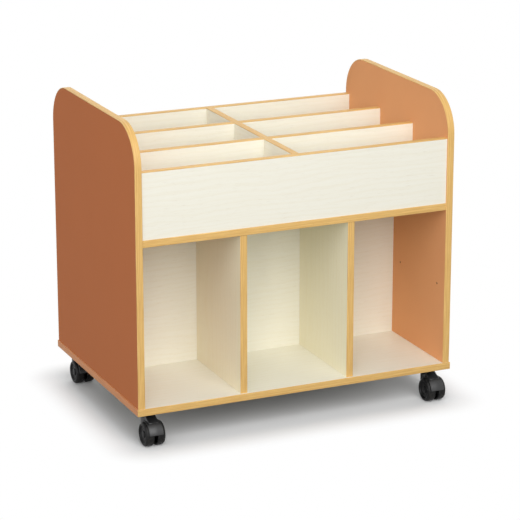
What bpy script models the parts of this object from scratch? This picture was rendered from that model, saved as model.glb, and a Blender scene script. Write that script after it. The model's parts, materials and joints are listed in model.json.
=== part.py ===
"""Book trolley: a double-sided browser box for picture books, on four twin-wheel castors.

Units are metres and +Z is up. +X runs to the right along the front, which faces -Y. The origin lies on the
floor, under the middle of the footprint with every castor trailing towards the front.
"""

import math

import bmesh
import bpy
from mathutils import Matrix, Vector

# Boards and their lippings
BOARD = 0.018  # melamine-faced board
PARTITION = 0.008  # thin board that parts the two sides
LIPPING = 0.002  # strip on every exposed board edge
LIPPING_FLAT = 0.0008  # straight side of a strip, below its rounded outer corners
GLUE_LINE = 0.0002  # gap at a glued or butted face
FIT = 0.0003  # clearance of a peg, pin, groove or slot

# Case
CASE_WIDTH = 0.852  # over the two end panels
CASE_DEPTH = 0.575  # over the end panels' lippings
BAY_HEIGHT = 0.405  # clear height of the lower bays
BAY_DIVIDER_OFFSET = 0.145  # from the middle of the case to a bay divider's middle
TRAY_HEIGHT = 0.167  # tray panels above the shelf, with their lipping
TRAY_ROWS = 3  # rows of books from front to back
END_RISE = 0.107  # end panels' tops above the tray
END_CORNER = 0.100  # radius of an end panel's top corners
SHELF_RECESS = 0.002  # shelf's lipping behind the end panels' lipping
PANEL_RECESS = 0.004  # tray panels and bay dividers behind the same

# Joinery
GROOVE_DEPTH = 0.006  # grooves that hold the partition
DOWEL_DIAMETER = 0.008
DOWEL_COVER = 0.006  # board left beyond a dowel's tip
DOWEL_ROOT = 0.004  # how far a dowel sits in its own board
END_DOWELS = 2  # in each half of an end panel's foot and of a shelf end
END_DOWEL_SETBACK = 0.015  # from the castor plates
END_DOWEL_PARTING = 0.056  # from the partition
TRAY_DOWEL_SETBACK = 0.0375  # from a tray board's foot and head
DIVIDER_DOWEL_SETBACK = 0.060  # from a bay divider's two upright edges
PEG_HOLE_DIAMETER = 0.005  # holes for a loose shelf's pegs
PEG_HOLE_COVER = 0.008  # board left behind a peg hole
PEG_HOLE_HEIGHT = 0.202  # above the base
PEG_HOLE_SETBACK = 0.041  # from the case's front, and from the partition

# Castors
SWIVEL_RISE = 0.0216  # base's underside above the wheel wells
CASTOR_INSET = 0.040  # swivel axis from the case's sides
CASTOR_TRAIL = 0.026  # swivel axis to axle
PLATE_SIZE = 0.060
PLATE_THICKNESS = 0.0025
PLATE_CORNER = 0.007
SCREW_SETBACK = 0.008  # from the plate's edges
SCREW_HEAD_DIAMETER = 0.008
SCREW_HEAD_HEIGHT = 0.0022
SCREW_SHANK_DIAMETER = 0.004
SCREW_COVER = 0.004  # board left above a screw's tip
KINGPIN_DIAMETER = 0.010
KINGPIN_SPIGOT_DIAMETER = 0.008  # riveted into the plate
KINGPIN_COLLAR_DIAMETER = 0.014
KINGPIN_COLLAR_HEIGHT = 0.002
KINGPIN_GROOVE_DEPTH = 0.0008  # snap groove near the pin's tip
KINGPIN_GROOVE_WIDTH = 0.002
SWIVEL_GAP = 0.0005  # between plate and neck
NECK_DIAMETER = 0.027
NECK_LENGTH = 0.009  # straight part above the flare
NECK_CHAMFER = 0.001
NECK_FOOT = 0.016  # foot of the neck above the axle
HOOD_WIDTH = 0.036
HOOD_WALL = 0.0016  # flanges over the wheels
HOOD_FLANGE = 0.004  # each side of the raised band
HOOD_BAND_RISE = 0.0014
HOOD_LIP_ANGLE = math.radians(8)  # front lip above the axle
HOOD_BACK_ANGLE = math.radians(158)
BAND_HEAD_REACH = 0.0085  # the band runs up in front of the swivel axis
BAND_HEAD_DROP = 0.003  # to its head below the neck's top
WEB = 0.008  # wall between the two wheels
WEB_BOSS_DIAMETER = 0.020
AXLE_DIAMETER = 0.008
AXLE_CHAMFER = 0.0006
WHEEL_DIAMETER = 0.060
WHEEL_WIDTH = 0.0205
WHEEL_GAP = 0.0008  # wheel to web, and tread to hood
TREAD_ROUND = 0.0055  # from the dished face's rim to the tread
DISH_DEPTH = 0.0042
DISH_SLOPE = 0.002
HUB_CAP_DIAMETER = 0.018
HUB_CAP_INSET = 0.0014
HUB_DIAMETER = 0.019
HUB_WALL = 0.003  # closes the axle's bore behind the hub cap
RIM_WALL = 0.0042  # tread ring, seen from the inner side
WHEEL_DISC = 0.0058  # wall between the dish and the inner side's hollow

# Facets
CORNER_STEPS = 10
ROUND_STEPS = 2
SCREW_SIDES = 6
SMALL_SIDES = 8
PIN_SIDES = 12
NECK_SIDES = 16
HOOD_STEPS = 12
WELL_SIDES = 24
WHEEL_STEPS = 20
MERGE = 0.00001

# Levels and places that follow
WHEEL_RADIUS = WHEEL_DIAMETER / 2
WHEEL_INNER = WEB / 2 + WHEEL_GAP
WHEEL_OUTER = WHEEL_INNER + WHEEL_WIDTH
AXLE_HEIGHT = WHEEL_RADIUS * math.cos(math.pi / WHEEL_STEPS)  # a flat of the tread rests on the floor
AXLE_LENGTH = 2 * (WHEEL_OUTER - HUB_CAP_INSET - HUB_WALL - FIT)
WELL_RADIUS = WHEEL_RADIUS + WHEEL_GAP
FLANGE_RADIUS = WELL_RADIUS + HOOD_WALL
HOOD_RADIUS = FLANGE_RADIUS + HOOD_BAND_RISE
SOCKET_BOTTOM = AXLE_HEIGHT + WELL_RADIUS
BASE_BOTTOM = SOCKET_BOTTOM + SWIVEL_RISE
BASE_TOP = BASE_BOTTOM + BOARD
PLATE_BOTTOM = BASE_BOTTOM - GLUE_LINE - PLATE_THICKNESS
NECK_TOP = PLATE_BOTTOM - SWIVEL_GAP
SCREW_TIP = BASE_TOP - SCREW_COVER
SHELF_BOTTOM = BASE_TOP + BAY_HEIGHT
SHELF_TOP = SHELF_BOTTOM + BOARD
TRAY_TOP = SHELF_TOP + TRAY_HEIGHT
TRAY_MIDDLE = SHELF_TOP + (TRAY_HEIGHT - LIPPING) / 2
TRAY_DOWEL_SPACING = TRAY_HEIGHT - LIPPING - 2 * TRAY_DOWEL_SETBACK
END_HEIGHT = TRAY_TOP + END_RISE - BASE_TOP
HALF_WIDTH = CASE_WIDTH / 2
HALF_DEPTH = CASE_DEPTH / 2
INNER_HALF = HALF_WIDTH - BOARD
TRAY_FACE = HALF_DEPTH - PANEL_RECESS  # outer face of a tray panel
ROW_PITCH = (2 * TRAY_FACE - BOARD) / TRAY_ROWS
FRONT_REACH = max(
    HALF_DEPTH + LIPPING,
    HALF_DEPTH - CASTOR_INSET + CASTOR_TRAIL + HOOD_RADIUS * math.cos(HOOD_LIP_ANGLE),
)
BACK_REACH = HALF_DEPTH + LIPPING
CASE_SHIFT = (FRONT_REACH - BACK_REACH) / 2  # puts the footprint's middle at the origin

# Turns of a drawing plane: the plane's own X and Y become the two axes named
PLANE_XY = (0, 0, 0)
PLANE_XZ = (math.pi / 2, 0, 0)
PLANE_YZ = (math.pi / 2, 0, math.pi / 2)

# Finishes: sRGB colour, roughness, metallic
FINISHES = {
    "terracotta_board": ((172, 104, 67), 0.45, 0.0),
    "maple_board": ((238, 233, 221), 0.42, 0.0),
    "oak_lipping": ((224, 180, 108), 0.40, 0.0),
    "black_nylon": ((30, 30, 31), 0.38, 0.0),
    "zinc_steel": ((176, 178, 182), 0.32, 1.0),
}


def clear_scene():
    """Remove the objects that the open file holds."""
    for obj in list(bpy.data.objects):
        bpy.data.objects.remove(obj, do_unlink=True)


def linear(channel):
    """Convert one 8-bit sRGB channel to a linear value."""
    share = channel / 255
    return share / 12.92 if share <= 0.04045 else ((share + 0.055) / 1.055) ** 2.4


def make_material(name):
    """Make a Principled material from its entry in FINISHES."""
    colour, roughness, metallic = FINISHES[name]
    material = bpy.data.materials.new(name)
    material.use_nodes = True
    shader = material.node_tree.nodes["Principled BSDF"]
    shader.inputs["Base Color"].default_value = [*map(linear, colour), 1]
    shader.inputs["Roughness"].default_value = roughness
    shader.inputs["Metallic"].default_value = metallic
    return material


def make_collection(name):
    """Make a collection in the scene."""
    collection = bpy.data.collections.new(name)
    bpy.context.scene.collection.children.link(collection)
    return collection


class Workshop:
    """Collections, materials and the empty that carries the case, shared by every piece."""

    def __init__(self):
        self.parts = make_collection("book_trolley")
        self.tools = make_collection("cutters")
        self.materials = {name: make_material(name) for name in FINISHES}
        self.case = self.empty("case_origin", None, (0, CASE_SHIFT, 0))

    def empty(self, name, parent, location):
        """Add an empty that carries other pieces."""
        empty = bpy.data.objects.new(name, None)
        self.parts.objects.link(empty)
        empty.parent = parent
        empty.location = location
        return empty

    def place(self, obj, finish, parent=None, location=(0, 0, 0), rotation=PLANE_XY):
        """Put a piece in the model, or with no finish keep it as a hidden tool."""
        (self.parts if finish else self.tools).objects.link(obj)
        obj.parent = parent or self.case
        obj.location = location
        obj.rotation_euler = rotation
        if finish:
            obj.data.materials.clear()
            obj.data.materials.append(self.materials[finish])
        else:
            obj.hide_render = True
            obj.display_type = "WIRE"
        return obj


def arc(centre, radius, start, end, steps):
    """List points along an arc in a drawing plane, both ends included."""
    turns = [start + (end - start) * step / steps for step in range(steps + 1)]
    return [(centre[0] + radius * math.cos(turn), centre[1] + radius * math.sin(turn)) for turn in turns]


def spread(count, span):
    """List evenly spaced places across a span that is centred on zero."""
    return [span * (step / (count - 1) - 0.5) for step in range(count)] if count > 1 else [0.0]


def end_dowel_places():
    """List the places of an end's dowels from front to back, clear of the partition in the middle."""
    inner = PARTITION / 2 + END_DOWEL_PARTING
    outer = HALF_DEPTH - CASTOR_INSET - PLATE_SIZE / 2 - END_DOWEL_SETBACK
    steps = spread(END_DOWELS, outer - inner)
    return [way * ((inner + outer) / 2 + step) for way in (-1, 1) for step in steps]


def mesh_object(name, bm):
    """Close a bmesh into an object of its own."""
    mesh = bpy.data.meshes.new(name)
    bm.to_mesh(mesh)
    bm.free()
    return bpy.data.objects.new(name, mesh)


def shade_round(obj, angle=math.radians(35)):
    """Shade a round piece smooth between its sharp edges."""
    obj.data.shade_smooth()
    obj.data.set_sharp_from_angle(angle=angle)
    return obj


def box(name, size):
    """Make a box that is centred on its origin."""
    bm = bmesh.new()
    bmesh.ops.create_cube(bm, size=1)
    bmesh.ops.scale(bm, vec=Vector(size), verts=bm.verts)
    return mesh_object(name, bm)


def rods(name, ends, diameter, sides=SMALL_SIDES):
    """Make one object of straight round rods, each given by its two end points."""
    bm = bmesh.new()
    for start, end in ends:
        start, end = Vector(start), Vector(end)
        turn = (end - start).to_track_quat("Z", "Y").to_matrix().to_4x4()
        bmesh.ops.create_cone(
            bm,
            cap_ends=True,
            segments=sides,
            radius1=diameter / 2,
            radius2=diameter / 2,
            depth=(end - start).length,
            matrix=Matrix.Translation((start + end) / 2) @ turn,
        )
    return mesh_object(name, bm)


def mesh_from_curve(name, curve):
    """Turn a curve's data into a closed mesh object, with its caps welded on."""
    guide = bpy.data.objects.new(name + "_guide", curve)
    bpy.context.scene.collection.objects.link(guide)
    depsgraph = bpy.context.evaluated_depsgraph_get()
    mesh = bpy.data.meshes.new_from_object(guide.evaluated_get(depsgraph))
    bpy.data.objects.remove(guide, do_unlink=True)
    bpy.data.curves.remove(curve)
    bm = bmesh.new()
    bm.from_mesh(mesh)
    bpy.data.meshes.remove(mesh)
    bmesh.ops.remove_doubles(bm, verts=bm.verts, dist=MERGE)
    bmesh.ops.recalc_face_normals(bm, faces=bm.faces)
    return mesh_object(name, bm)


def flat_curve(name, points, closed):
    """Draw a straight-sided line through points of a plane, as a 2D curve."""
    curve = bpy.data.curves.new(name + "_line", "CURVE")
    curve.dimensions = "2D"
    spline = curve.splines.new("POLY")
    spline.points.add(len(points) - 1)
    for point, (across, up) in zip(spline.points, points):
        point.co = (across, up, 0, 1)
    spline.use_cyclic_u = closed
    return curve


def slab(name, outline, thickness):
    """Extrude a flat outline to both sides of its plane."""
    curve = flat_curve(name, outline, closed=True)
    curve.fill_mode = "BOTH"
    curve.extrude = thickness / 2
    return mesh_from_curve(name, curve)


def turned(name, profile, steps, start=0.0):
    """Turn a profile of (radius, height) points, listed from the top down its outer side, about Z."""
    bm = bmesh.new()
    spots = [bm.verts.new((r * math.cos(start), r * math.sin(start), height)) for r, height in profile]
    for first, second in zip(spots, spots[1:]):
        bm.edges.new((first, second))
    obj = mesh_object(name, bm)
    screw = obj.modifiers.new("turn", "SCREW")
    screw.steps = steps
    screw.render_steps = steps
    screw.use_merge_vertices = True
    screw.merge_threshold = MERGE
    screw.use_smooth_shade = True
    return obj


def combine(target, tool, operation):
    """Add a Boolean step to a piece."""
    step = target.modifiers.new(tool.name, "BOOLEAN")
    step.operation = operation
    step.object = tool
    return target


class Joinery:
    """Dowels, grooves and drilled holes, gathered for each board and then worked into it."""

    def __init__(self, shop):
        self.shop = shop
        self.dowels = {}
        self.holes = {}

    def dowel(self, carrier, neighbour, face, points, direction):
        """Set dowels in one board's edge and bore the neighbour for them.

        face is the coordinate of the joint along direction; points lie in the joint.
        """
        way = Vector(direction)
        for point in points:
            seat = Vector(point)
            seat += way * (face - seat.dot(way))
            root, tip = seat - way * DOWEL_ROOT, seat + way * (BOARD - DOWEL_COVER)
            self.dowels.setdefault(carrier, []).append((root, tip))
            self.drill(neighbour, DOWEL_DIAMETER + 2 * FIT, root, tip + way * FIT)

    def drill(self, board, diameter, mouth, bottom, sides=SMALL_SIDES):
        """Bore a round hole from a point outside the board to the hole's bottom."""
        self.holes.setdefault((board, diameter, sides), []).append((mouth, bottom))

    def groove(self, board, name, low, high):
        """Plough a square groove between two corners."""
        low, high = Vector(low), Vector(high)
        tool = self.shop.place(box(name, high - low), None, location=(low + high) / 2)
        combine(board, tool, "DIFFERENCE")

    def work(self):
        """Fix all dowels and bore all holes."""
        for board, ends in self.dowels.items():
            tool = rods(board.name + "_dowels", ends, DOWEL_DIAMETER)
            combine(board, self.shop.place(tool, None), "UNION")
        for count, ((board, diameter, sides), ends) in enumerate(self.holes.items()):
            tool = rods(f"{board.name}_bores_{count}", ends, diameter, sides)
            combine(board, self.shop.place(tool, None), "DIFFERENCE")


class Case:
    """The boards, their lippings and the joints between them."""

    def __init__(self, shop):
        self.shop = shop
        self.joinery = Joinery(shop)
        self.lipping_section = self.draw_lipping_section()
        self.base = self.build_base()
        self.ends = {side: self.build_end(name, side) for name, side in (("left", -1), ("right", 1))}
        self.shelf = self.build_shelf()
        self.build_tray()
        self.build_partition()
        for name, side in (("left", -1), ("right", 1)):
            for row, way in (("front", -1), ("back", 1)):
                self.build_bay_divider(f"{row}_{name}", side, way)
        self.drill_screws()
        self.joinery.work()

    def board(self, name, low, high, finish):
        """Cut a rectangular board to the space between two corners."""
        low, high = Vector(low), Vector(high)
        return self.shop.place(box(name, high - low), finish, location=(low + high) / 2)

    def draw_lipping_section(self):
        """Draw a lipping's section: flat on the board, rounded at its two outer corners.

        A curve's section has its +X side to the right of the path, so the strip is drawn on the -X side.
        """
        half, rounding = BOARD / 2, LIPPING - LIPPING_FLAT
        low = arc((-LIPPING_FLAT, rounding - half), rounding, -math.pi / 2, -math.pi, ROUND_STEPS)
        high = arc((-LIPPING_FLAT, half - rounding), rounding, math.pi, math.pi / 2, ROUND_STEPS)
        section = [(-GLUE_LINE, -half), *low, *high, (-GLUE_LINE, half)]
        guide = bpy.data.objects.new("lipping_section", flat_curve("lipping_section", section, closed=True))
        return self.shop.place(guide, None)

    def lipping(self, name, path, plane, location):
        """Run a lipping along a board's edge, to the left of the path."""
        curve = flat_curve(name, path, closed=False)
        curve.bevel_mode = "OBJECT"
        curve.bevel_object = self.lipping_section
        curve.use_fill_caps = True
        strip = mesh_from_curve(name, curve)
        return self.shop.place(strip, "oak_lipping", location=location, rotation=plane)

    def build_base(self):
        """Lay the base board on the castors, lipped all round."""
        low, high = (-HALF_WIDTH, -HALF_DEPTH, BASE_BOTTOM), (HALF_WIDTH, HALF_DEPTH, BASE_TOP)
        base = self.board("base_panel", low, high, "maple_board")
        middle = (0, 0, BASE_BOTTOM + BOARD / 2)
        long = HALF_WIDTH + LIPPING
        short = HALF_DEPTH
        runs = {
            "front": [(long, -HALF_DEPTH), (-long, -HALF_DEPTH)],
            "back": [(-long, HALF_DEPTH), (long, HALF_DEPTH)],
            "left": [(-HALF_WIDTH, -short), (-HALF_WIDTH, short)],
            "right": [(HALF_WIDTH, short), (HALF_WIDTH, -short)],
        }
        for side, path in runs.items():
            self.lipping(f"base_lipping_{side}", path, PLANE_XY, middle)
        return base

    def build_end(self, name, side):
        """Stand an end panel on the base, with rounded top corners and a lipping over front, top and back."""
        foot, head = GLUE_LINE, END_HEIGHT - LIPPING
        reach, radius = HALF_DEPTH - LIPPING, END_CORNER - LIPPING
        over = [
            (-reach, foot),
            *arc((radius - reach, head - radius), radius, math.pi, math.pi / 2, CORNER_STEPS),
            *arc((reach - radius, head - radius), radius, math.pi / 2, 0, CORNER_STEPS),
            (reach, foot),
        ]
        middle = (side * (HALF_WIDTH - BOARD / 2), 0, BASE_TOP)
        panel = slab(f"{name}_end_panel", over, BOARD)
        self.shop.place(panel, "terracotta_board", location=middle, rotation=PLANE_YZ)
        self.lipping(f"{name}_end_lipping", over, PLANE_YZ, middle)
        spots = [(middle[0], along, BASE_TOP) for along in end_dowel_places()]
        self.joinery.dowel(panel, self.base, -BASE_TOP, spots, (0, 0, -1))
        self.drill_pegs(panel, side * INNER_HALF, side, way=-side)
        return panel

    def drill_pegs(self, board, face, side, way):
        """Bore a pair of shelf-peg holes into a board's face, in the front or the back bay."""
        height = BASE_TOP + PEG_HOLE_HEIGHT
        for along in (HALF_DEPTH - PEG_HOLE_SETBACK, PARTITION / 2 + PEG_HOLE_SETBACK):
            mouth = Vector((face - side * GLUE_LINE, way * along, height))
            bottom = Vector((face + side * (BOARD - PEG_HOLE_COVER), way * along, height))
            self.joinery.drill(board, PEG_HOLE_DIAMETER, mouth, bottom)

    def build_shelf(self):
        """Hang the shelf, which is the tray's floor, between the end panels."""
        half, reach = INNER_HALF - GLUE_LINE, HALF_DEPTH - SHELF_RECESS - LIPPING
        low, high = (-half, -reach, SHELF_BOTTOM), (half, reach, SHELF_TOP)
        shelf = self.board("middle_shelf", low, high, "maple_board")
        middle = (0, 0, SHELF_BOTTOM + BOARD / 2)
        self.lipping("shelf_lipping_front", [(half, -reach), (-half, -reach)], PLANE_XY, middle)
        self.lipping("shelf_lipping_back", [(-half, reach), (half, reach)], PLANE_XY, middle)
        for side, end in self.ends.items():
            spots = [(0, along, middle[2]) for along in end_dowel_places()]
            self.joinery.dowel(shelf, end, INNER_HALF, spots, (side, 0, 0))
        return shelf

    def build_tray(self):
        """Stand the tray's front, back and row dividers on the shelf, with a cross divider halved in."""
        faces = [-TRAY_FACE + ROW_PITCH * row for row in range(TRAY_ROWS + 1)]
        names = ["tray_front", *(f"row_divider_{row}" for row in range(1, TRAY_ROWS)), "tray_back"]
        boards = [self.tray_board(name, face) for name, face in zip(names, faces)]
        rows = list(zip(names, faces, boards))[1:-1]
        for name, face in ((names[0], faces[0]), (names[-1], faces[-1])):
            self.tray_lipping(f"{name}_lipping", -INNER_HALF, INNER_HALF, face)
        for name, face, _ in rows:
            self.tray_lipping(f"{name}_lipping_left", -INNER_HALF, -BOARD / 2, face)
            self.tray_lipping(f"{name}_lipping_right", BOARD / 2, INNER_HALF, face)
        self.cross_divider(boards, rows)

    def tray_board(self, name, face):
        """Stand one board across the tray, with its front face at the given place."""
        half = INNER_HALF - GLUE_LINE
        low, high = (-half, face, SHELF_TOP + GLUE_LINE), (half, face + BOARD, TRAY_TOP - LIPPING)
        board = self.board(name, low, high, "maple_board")
        for side, end in self.ends.items():
            spots = [(0, face + BOARD / 2, TRAY_MIDDLE + up) for up in spread(2, TRAY_DOWEL_SPACING)]
            self.joinery.dowel(board, end, INNER_HALF, spots, (side, 0, 0))
        return board

    def tray_lipping(self, name, start, end, face):
        """Lip the top of a tray board between two places along it."""
        path = [(start + GLUE_LINE, 0), (end - GLUE_LINE, 0)]
        self.lipping(name, path, PLANE_XZ, (0, face + BOARD / 2, TRAY_TOP - LIPPING))

    def cross_divider(self, boards, rows):
        """Run the cross divider from front to back, halved over every row divider."""
        reach = TRAY_FACE - BOARD - GLUE_LINE
        low, high = (-BOARD / 2, -reach, SHELF_TOP + GLUE_LINE), (BOARD / 2, reach, TRAY_TOP - LIPPING)
        cross = self.board("cross_divider", low, high, "maple_board")
        path = [(-reach, 0), (reach, 0)]
        self.lipping("cross_divider_lipping", path, PLANE_YZ, (0, 0, TRAY_TOP - LIPPING))
        slot = BOARD / 2 + FIT
        for name, face, row in rows:
            top = (slot, face + BOARD + FIT, TRAY_TOP)
            self.joinery.groove(row, f"{name}_slot", (-slot, face - FIT, TRAY_MIDDLE - FIT / 2), top)
            top = (slot, face + BOARD + FIT, TRAY_MIDDLE + FIT / 2)
            self.joinery.groove(cross, f"{name}_notch", (-slot, face - FIT, SHELF_TOP - FIT), top)
        for board, way in ((boards[0], -1), (boards[-1], 1)):
            spots = [(0, 0, TRAY_MIDDLE + up) for up in spread(2, TRAY_DOWEL_SPACING)]
            self.joinery.dowel(cross, board, TRAY_FACE - BOARD, spots, (0, way, 0))

    def build_partition(self):
        """Slide the thin partition into grooves in the ends, the base and the shelf."""
        half, depth = PARTITION / 2, GROOVE_DEPTH - FIT
        low = (-INNER_HALF - depth, -half, BASE_TOP - depth)
        high = (INNER_HALF + depth, half, SHELF_BOTTOM + depth)
        self.board("centre_partition", low, high, "maple_board")
        half += FIT
        reach = INNER_HALF + GROOVE_DEPTH
        low, high = (-reach, -half, BASE_TOP - GROOVE_DEPTH), (reach, half, BASE_TOP + FIT)
        self.joinery.groove(self.base, "base_groove", low, high)
        low, high = (-reach, -half, SHELF_BOTTOM - FIT), (reach, half, SHELF_BOTTOM + GROOVE_DEPTH)
        self.joinery.groove(self.shelf, "shelf_groove", low, high)
        for side, end in self.ends.items():
            across = sorted((side * (INNER_HALF - FIT), side * reach))
            low = (across[0], -half, BASE_TOP - FIT)
            high = (across[1], half, SHELF_BOTTOM + GROOVE_DEPTH)
            self.joinery.groove(end, f"{end.name}_groove", low, high)

    def build_bay_divider(self, name, side, way):
        """Stand one bay divider between base and shelf, lipped along its open edge."""
        centre, edge = side * BAY_DIVIDER_OFFSET, HALF_DEPTH - PANEL_RECESS - LIPPING
        inner = PARTITION / 2 + GLUE_LINE
        along = sorted((way * inner, way * edge))
        foot, head = BASE_TOP + GLUE_LINE, SHELF_BOTTOM - GLUE_LINE
        low, high = (centre - BOARD / 2, along[0], foot), (centre + BOARD / 2, along[1], head)
        divider = self.board(f"bay_divider_{name}", low, high, "maple_board")
        path = [(way * edge, foot), (way * edge, head)]
        path = path if way < 0 else path[::-1]
        self.lipping(f"bay_divider_lipping_{name}", path, PLANE_YZ, (centre, 0, 0))
        middle = way * (inner + edge) / 2
        spacing = edge - inner - 2 * DIVIDER_DOWEL_SETBACK
        spots = [(centre, middle + step, 0) for step in spread(2, spacing)]
        self.joinery.dowel(divider, self.base, -BASE_TOP, spots, (0, 0, -1))
        self.joinery.dowel(divider, self.shelf, SHELF_BOTTOM, spots, (0, 0, 1))
        if side == -way:
            self.drill_pegs(divider, centre + side * BOARD / 2, -side, way)

    def drill_screws(self):
        """Bore the base's underside for the castor screws."""
        for _, x, y in castor_places():
            for across, along in screw_places():
                mouth = Vector((x + across, y + along, BASE_BOTTOM - FIT))
                bottom = Vector((x + across, y + along, SCREW_TIP + FIT))
                self.joinery.drill(self.base, SCREW_SHANK_DIAMETER + 2 * FIT, mouth, bottom, SCREW_SIDES)


def castor_places():
    """List every castor's name with its swivel axis in the case's plan."""
    x, y = HALF_WIDTH - CASTOR_INSET, HALF_DEPTH - CASTOR_INSET
    return [
        (f"{row}_{name}", side * x, way * y)
        for row, way in (("front", -1), ("back", 1))
        for name, side in (("left", -1), ("right", 1))
    ]


def screw_places():
    """List a castor plate's four screws about its middle."""
    reach = spread(2, PLATE_SIZE - 2 * SCREW_SETBACK)
    return [(across, along) for across in reach for along in reach]


class Castor:
    """One twin-wheel castor: plate and kingpin on the case, hood and axle that swivel, and two wheels."""

    def __init__(self, shop, name, x, y):
        self.shop = shop
        self.name = f"castor_{name}"
        self.swivel = shop.empty(f"{self.name}_swivel", shop.case, (x, y, 0))
        self.build_plate()
        self.build_kingpin()
        self.build_hood()
        self.build_axle()
        for side, sign in (("left", -1), ("right", 1)):
            self.build_wheel(side, sign)

    def add(self, obj, finish, location=(0, 0, 0), rotation=PLANE_XY):
        """Place a piece of this castor relative to its swivel axis."""
        return self.shop.place(obj, finish, self.swivel, location, rotation)

    def build_plate(self):
        """Stamp the fixing plate, with its four screws."""
        reach = PLATE_SIZE / 2 - PLATE_CORNER
        outline = []
        for turn, (across, along) in enumerate(((1, 1), (-1, 1), (-1, -1), (1, -1))):
            start = turn * math.pi / 2
            centre = (across * reach, along * reach)
            outline += arc(centre, PLATE_CORNER, start, start + math.pi / 2, ROUND_STEPS)
        plate = slab(f"{self.name}_plate", outline, PLATE_THICKNESS)
        middle = PLATE_BOTTOM + PLATE_THICKNESS / 2
        self.add(plate, "zinc_steel", (0, 0, middle))
        heads, shanks = [], []
        for across, along in screw_places():
            heads.append(((across, along, PLATE_BOTTOM - SCREW_HEAD_HEIGHT), (across, along, middle)))
            shanks.append(((across, along, middle), (across, along, SCREW_TIP)))
        tool = rods(f"{self.name}_screw_heads", heads, SCREW_HEAD_DIAMETER, SCREW_SIDES)
        combine(plate, self.add(tool, None), "UNION")
        tool = rods(f"{self.name}_screw_shanks", shanks, SCREW_SHANK_DIAMETER, SCREW_SIDES)
        combine(plate, self.add(tool, None), "UNION")
        hole = [((0, 0, PLATE_BOTTOM - FIT), (0, 0, BASE_BOTTOM))]
        tool = rods(f"{self.name}_plate_hole", hole, KINGPIN_SPIGOT_DIAMETER + 2 * FIT, PIN_SIDES)
        combine(plate, self.add(tool, None), "DIFFERENCE")

    def build_kingpin(self):
        """Turn the kingpin: spigot in the plate, collar below it, and a pin with a snap groove."""
        pin, collar = KINGPIN_DIAMETER / 2, KINGPIN_COLLAR_DIAMETER / 2
        spigot = KINGPIN_SPIGOT_DIAMETER / 2
        under = PLATE_BOTTOM - GLUE_LINE
        foot = under - KINGPIN_COLLAR_HEIGHT
        tip = SOCKET_BOTTOM + FIT
        groove = tip + 2 * KINGPIN_GROOVE_WIDTH
        neck = pin - KINGPIN_GROOVE_DEPTH
        profile = [
            (0, BASE_BOTTOM - GLUE_LINE),
            (spigot, BASE_BOTTOM - GLUE_LINE),
            (spigot, under),
            (collar, under),
            (collar, foot),
            (pin, foot),
            (pin, groove),
            (neck, groove),
            (neck, groove - KINGPIN_GROOVE_WIDTH),
            (pin, groove - KINGPIN_GROOVE_WIDTH),
            (pin, tip + KINGPIN_GROOVE_DEPTH),
            (neck, tip),
            (0, tip),
        ]
        self.add(turned(f"{self.name}_kingpin", profile, PIN_SIDES), "zinc_steel")

    def hood_outline(self):
        """Draw the flanges' side: an arc over the wheels from the front lip to the back, closed by a chord."""
        start, end = math.pi - HOOD_LIP_ANGLE, math.pi - HOOD_BACK_ANGLE
        return arc((-CASTOR_TRAIL, AXLE_HEIGHT), FLANGE_RADIUS, start, end, HOOD_STEPS)

    def band_outline(self):
        """Draw the raised band's side: an arc from the front lip that runs straight on to the neck's head."""
        axle = (-CASTOR_TRAIL, AXLE_HEIGHT)
        head = (-BAND_HEAD_REACH, NECK_TOP - BAND_HEAD_DROP)
        along, up = head[0] - axle[0], head[1] - axle[1]
        leave = math.atan2(up, along) + math.acos(HOOD_RADIUS / math.hypot(along, up))
        front = arc(axle, HOOD_RADIUS, math.pi - HOOD_LIP_ANGLE, leave, HOOD_STEPS // 2)
        return [*front, head, (head[0], AXLE_HEIGHT + NECK_FOOT)]

    def build_hood(self):
        """Mould the hood: flanges over the wheels, raised band, neck, and web that holds the axle."""
        hood = slab(f"{self.name}_hood", self.hood_outline(), HOOD_WIDTH)
        self.add(hood, "black_nylon", rotation=PLANE_YZ)
        band = slab(f"{self.name}_band", self.band_outline(), HOOD_WIDTH - 2 * HOOD_FLANGE)
        combine(hood, self.add(band, None, rotation=PLANE_YZ), "UNION")
        combine(hood, self.add(self.neck(), None), "UNION")
        boss = WEB_BOSS_DIAMETER / 2
        web = [
            *arc((-CASTOR_TRAIL, AXLE_HEIGHT), boss, math.pi, 2 * math.pi, PIN_SIDES // 2),
            (boss - CASTOR_TRAIL, AXLE_HEIGHT + WHEEL_RADIUS - HOOD_WALL),
            (-boss - CASTOR_TRAIL, AXLE_HEIGHT + WHEEL_RADIUS - HOOD_WALL),
        ]
        web = slab(f"{self.name}_web", web, 2 * WEB)
        combine(hood, self.add(web, None, rotation=PLANE_YZ), "UNION")
        self.bore_hood(hood)
        shade_round(hood)

    def neck(self):
        """Turn the neck that runs on the kingpin, flared to the hood's width below."""
        neck, flare = NECK_DIAMETER / 2, HOOD_WIDTH / 2
        foot = AXLE_HEIGHT + NECK_FOOT
        shoulder = NECK_TOP - NECK_LENGTH
        profile = [
            (0, NECK_TOP),
            (neck - NECK_CHAMFER, NECK_TOP),
            (neck, NECK_TOP - NECK_CHAMFER),
            (neck, shoulder),
            (flare, shoulder - 2 * abs(flare - neck)),
            (flare, foot + NECK_CHAMFER),
            (flare - NECK_CHAMFER, foot),
            (0, foot),
        ]
        return turned(f"{self.name}_neck", profile, NECK_SIDES)

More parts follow.
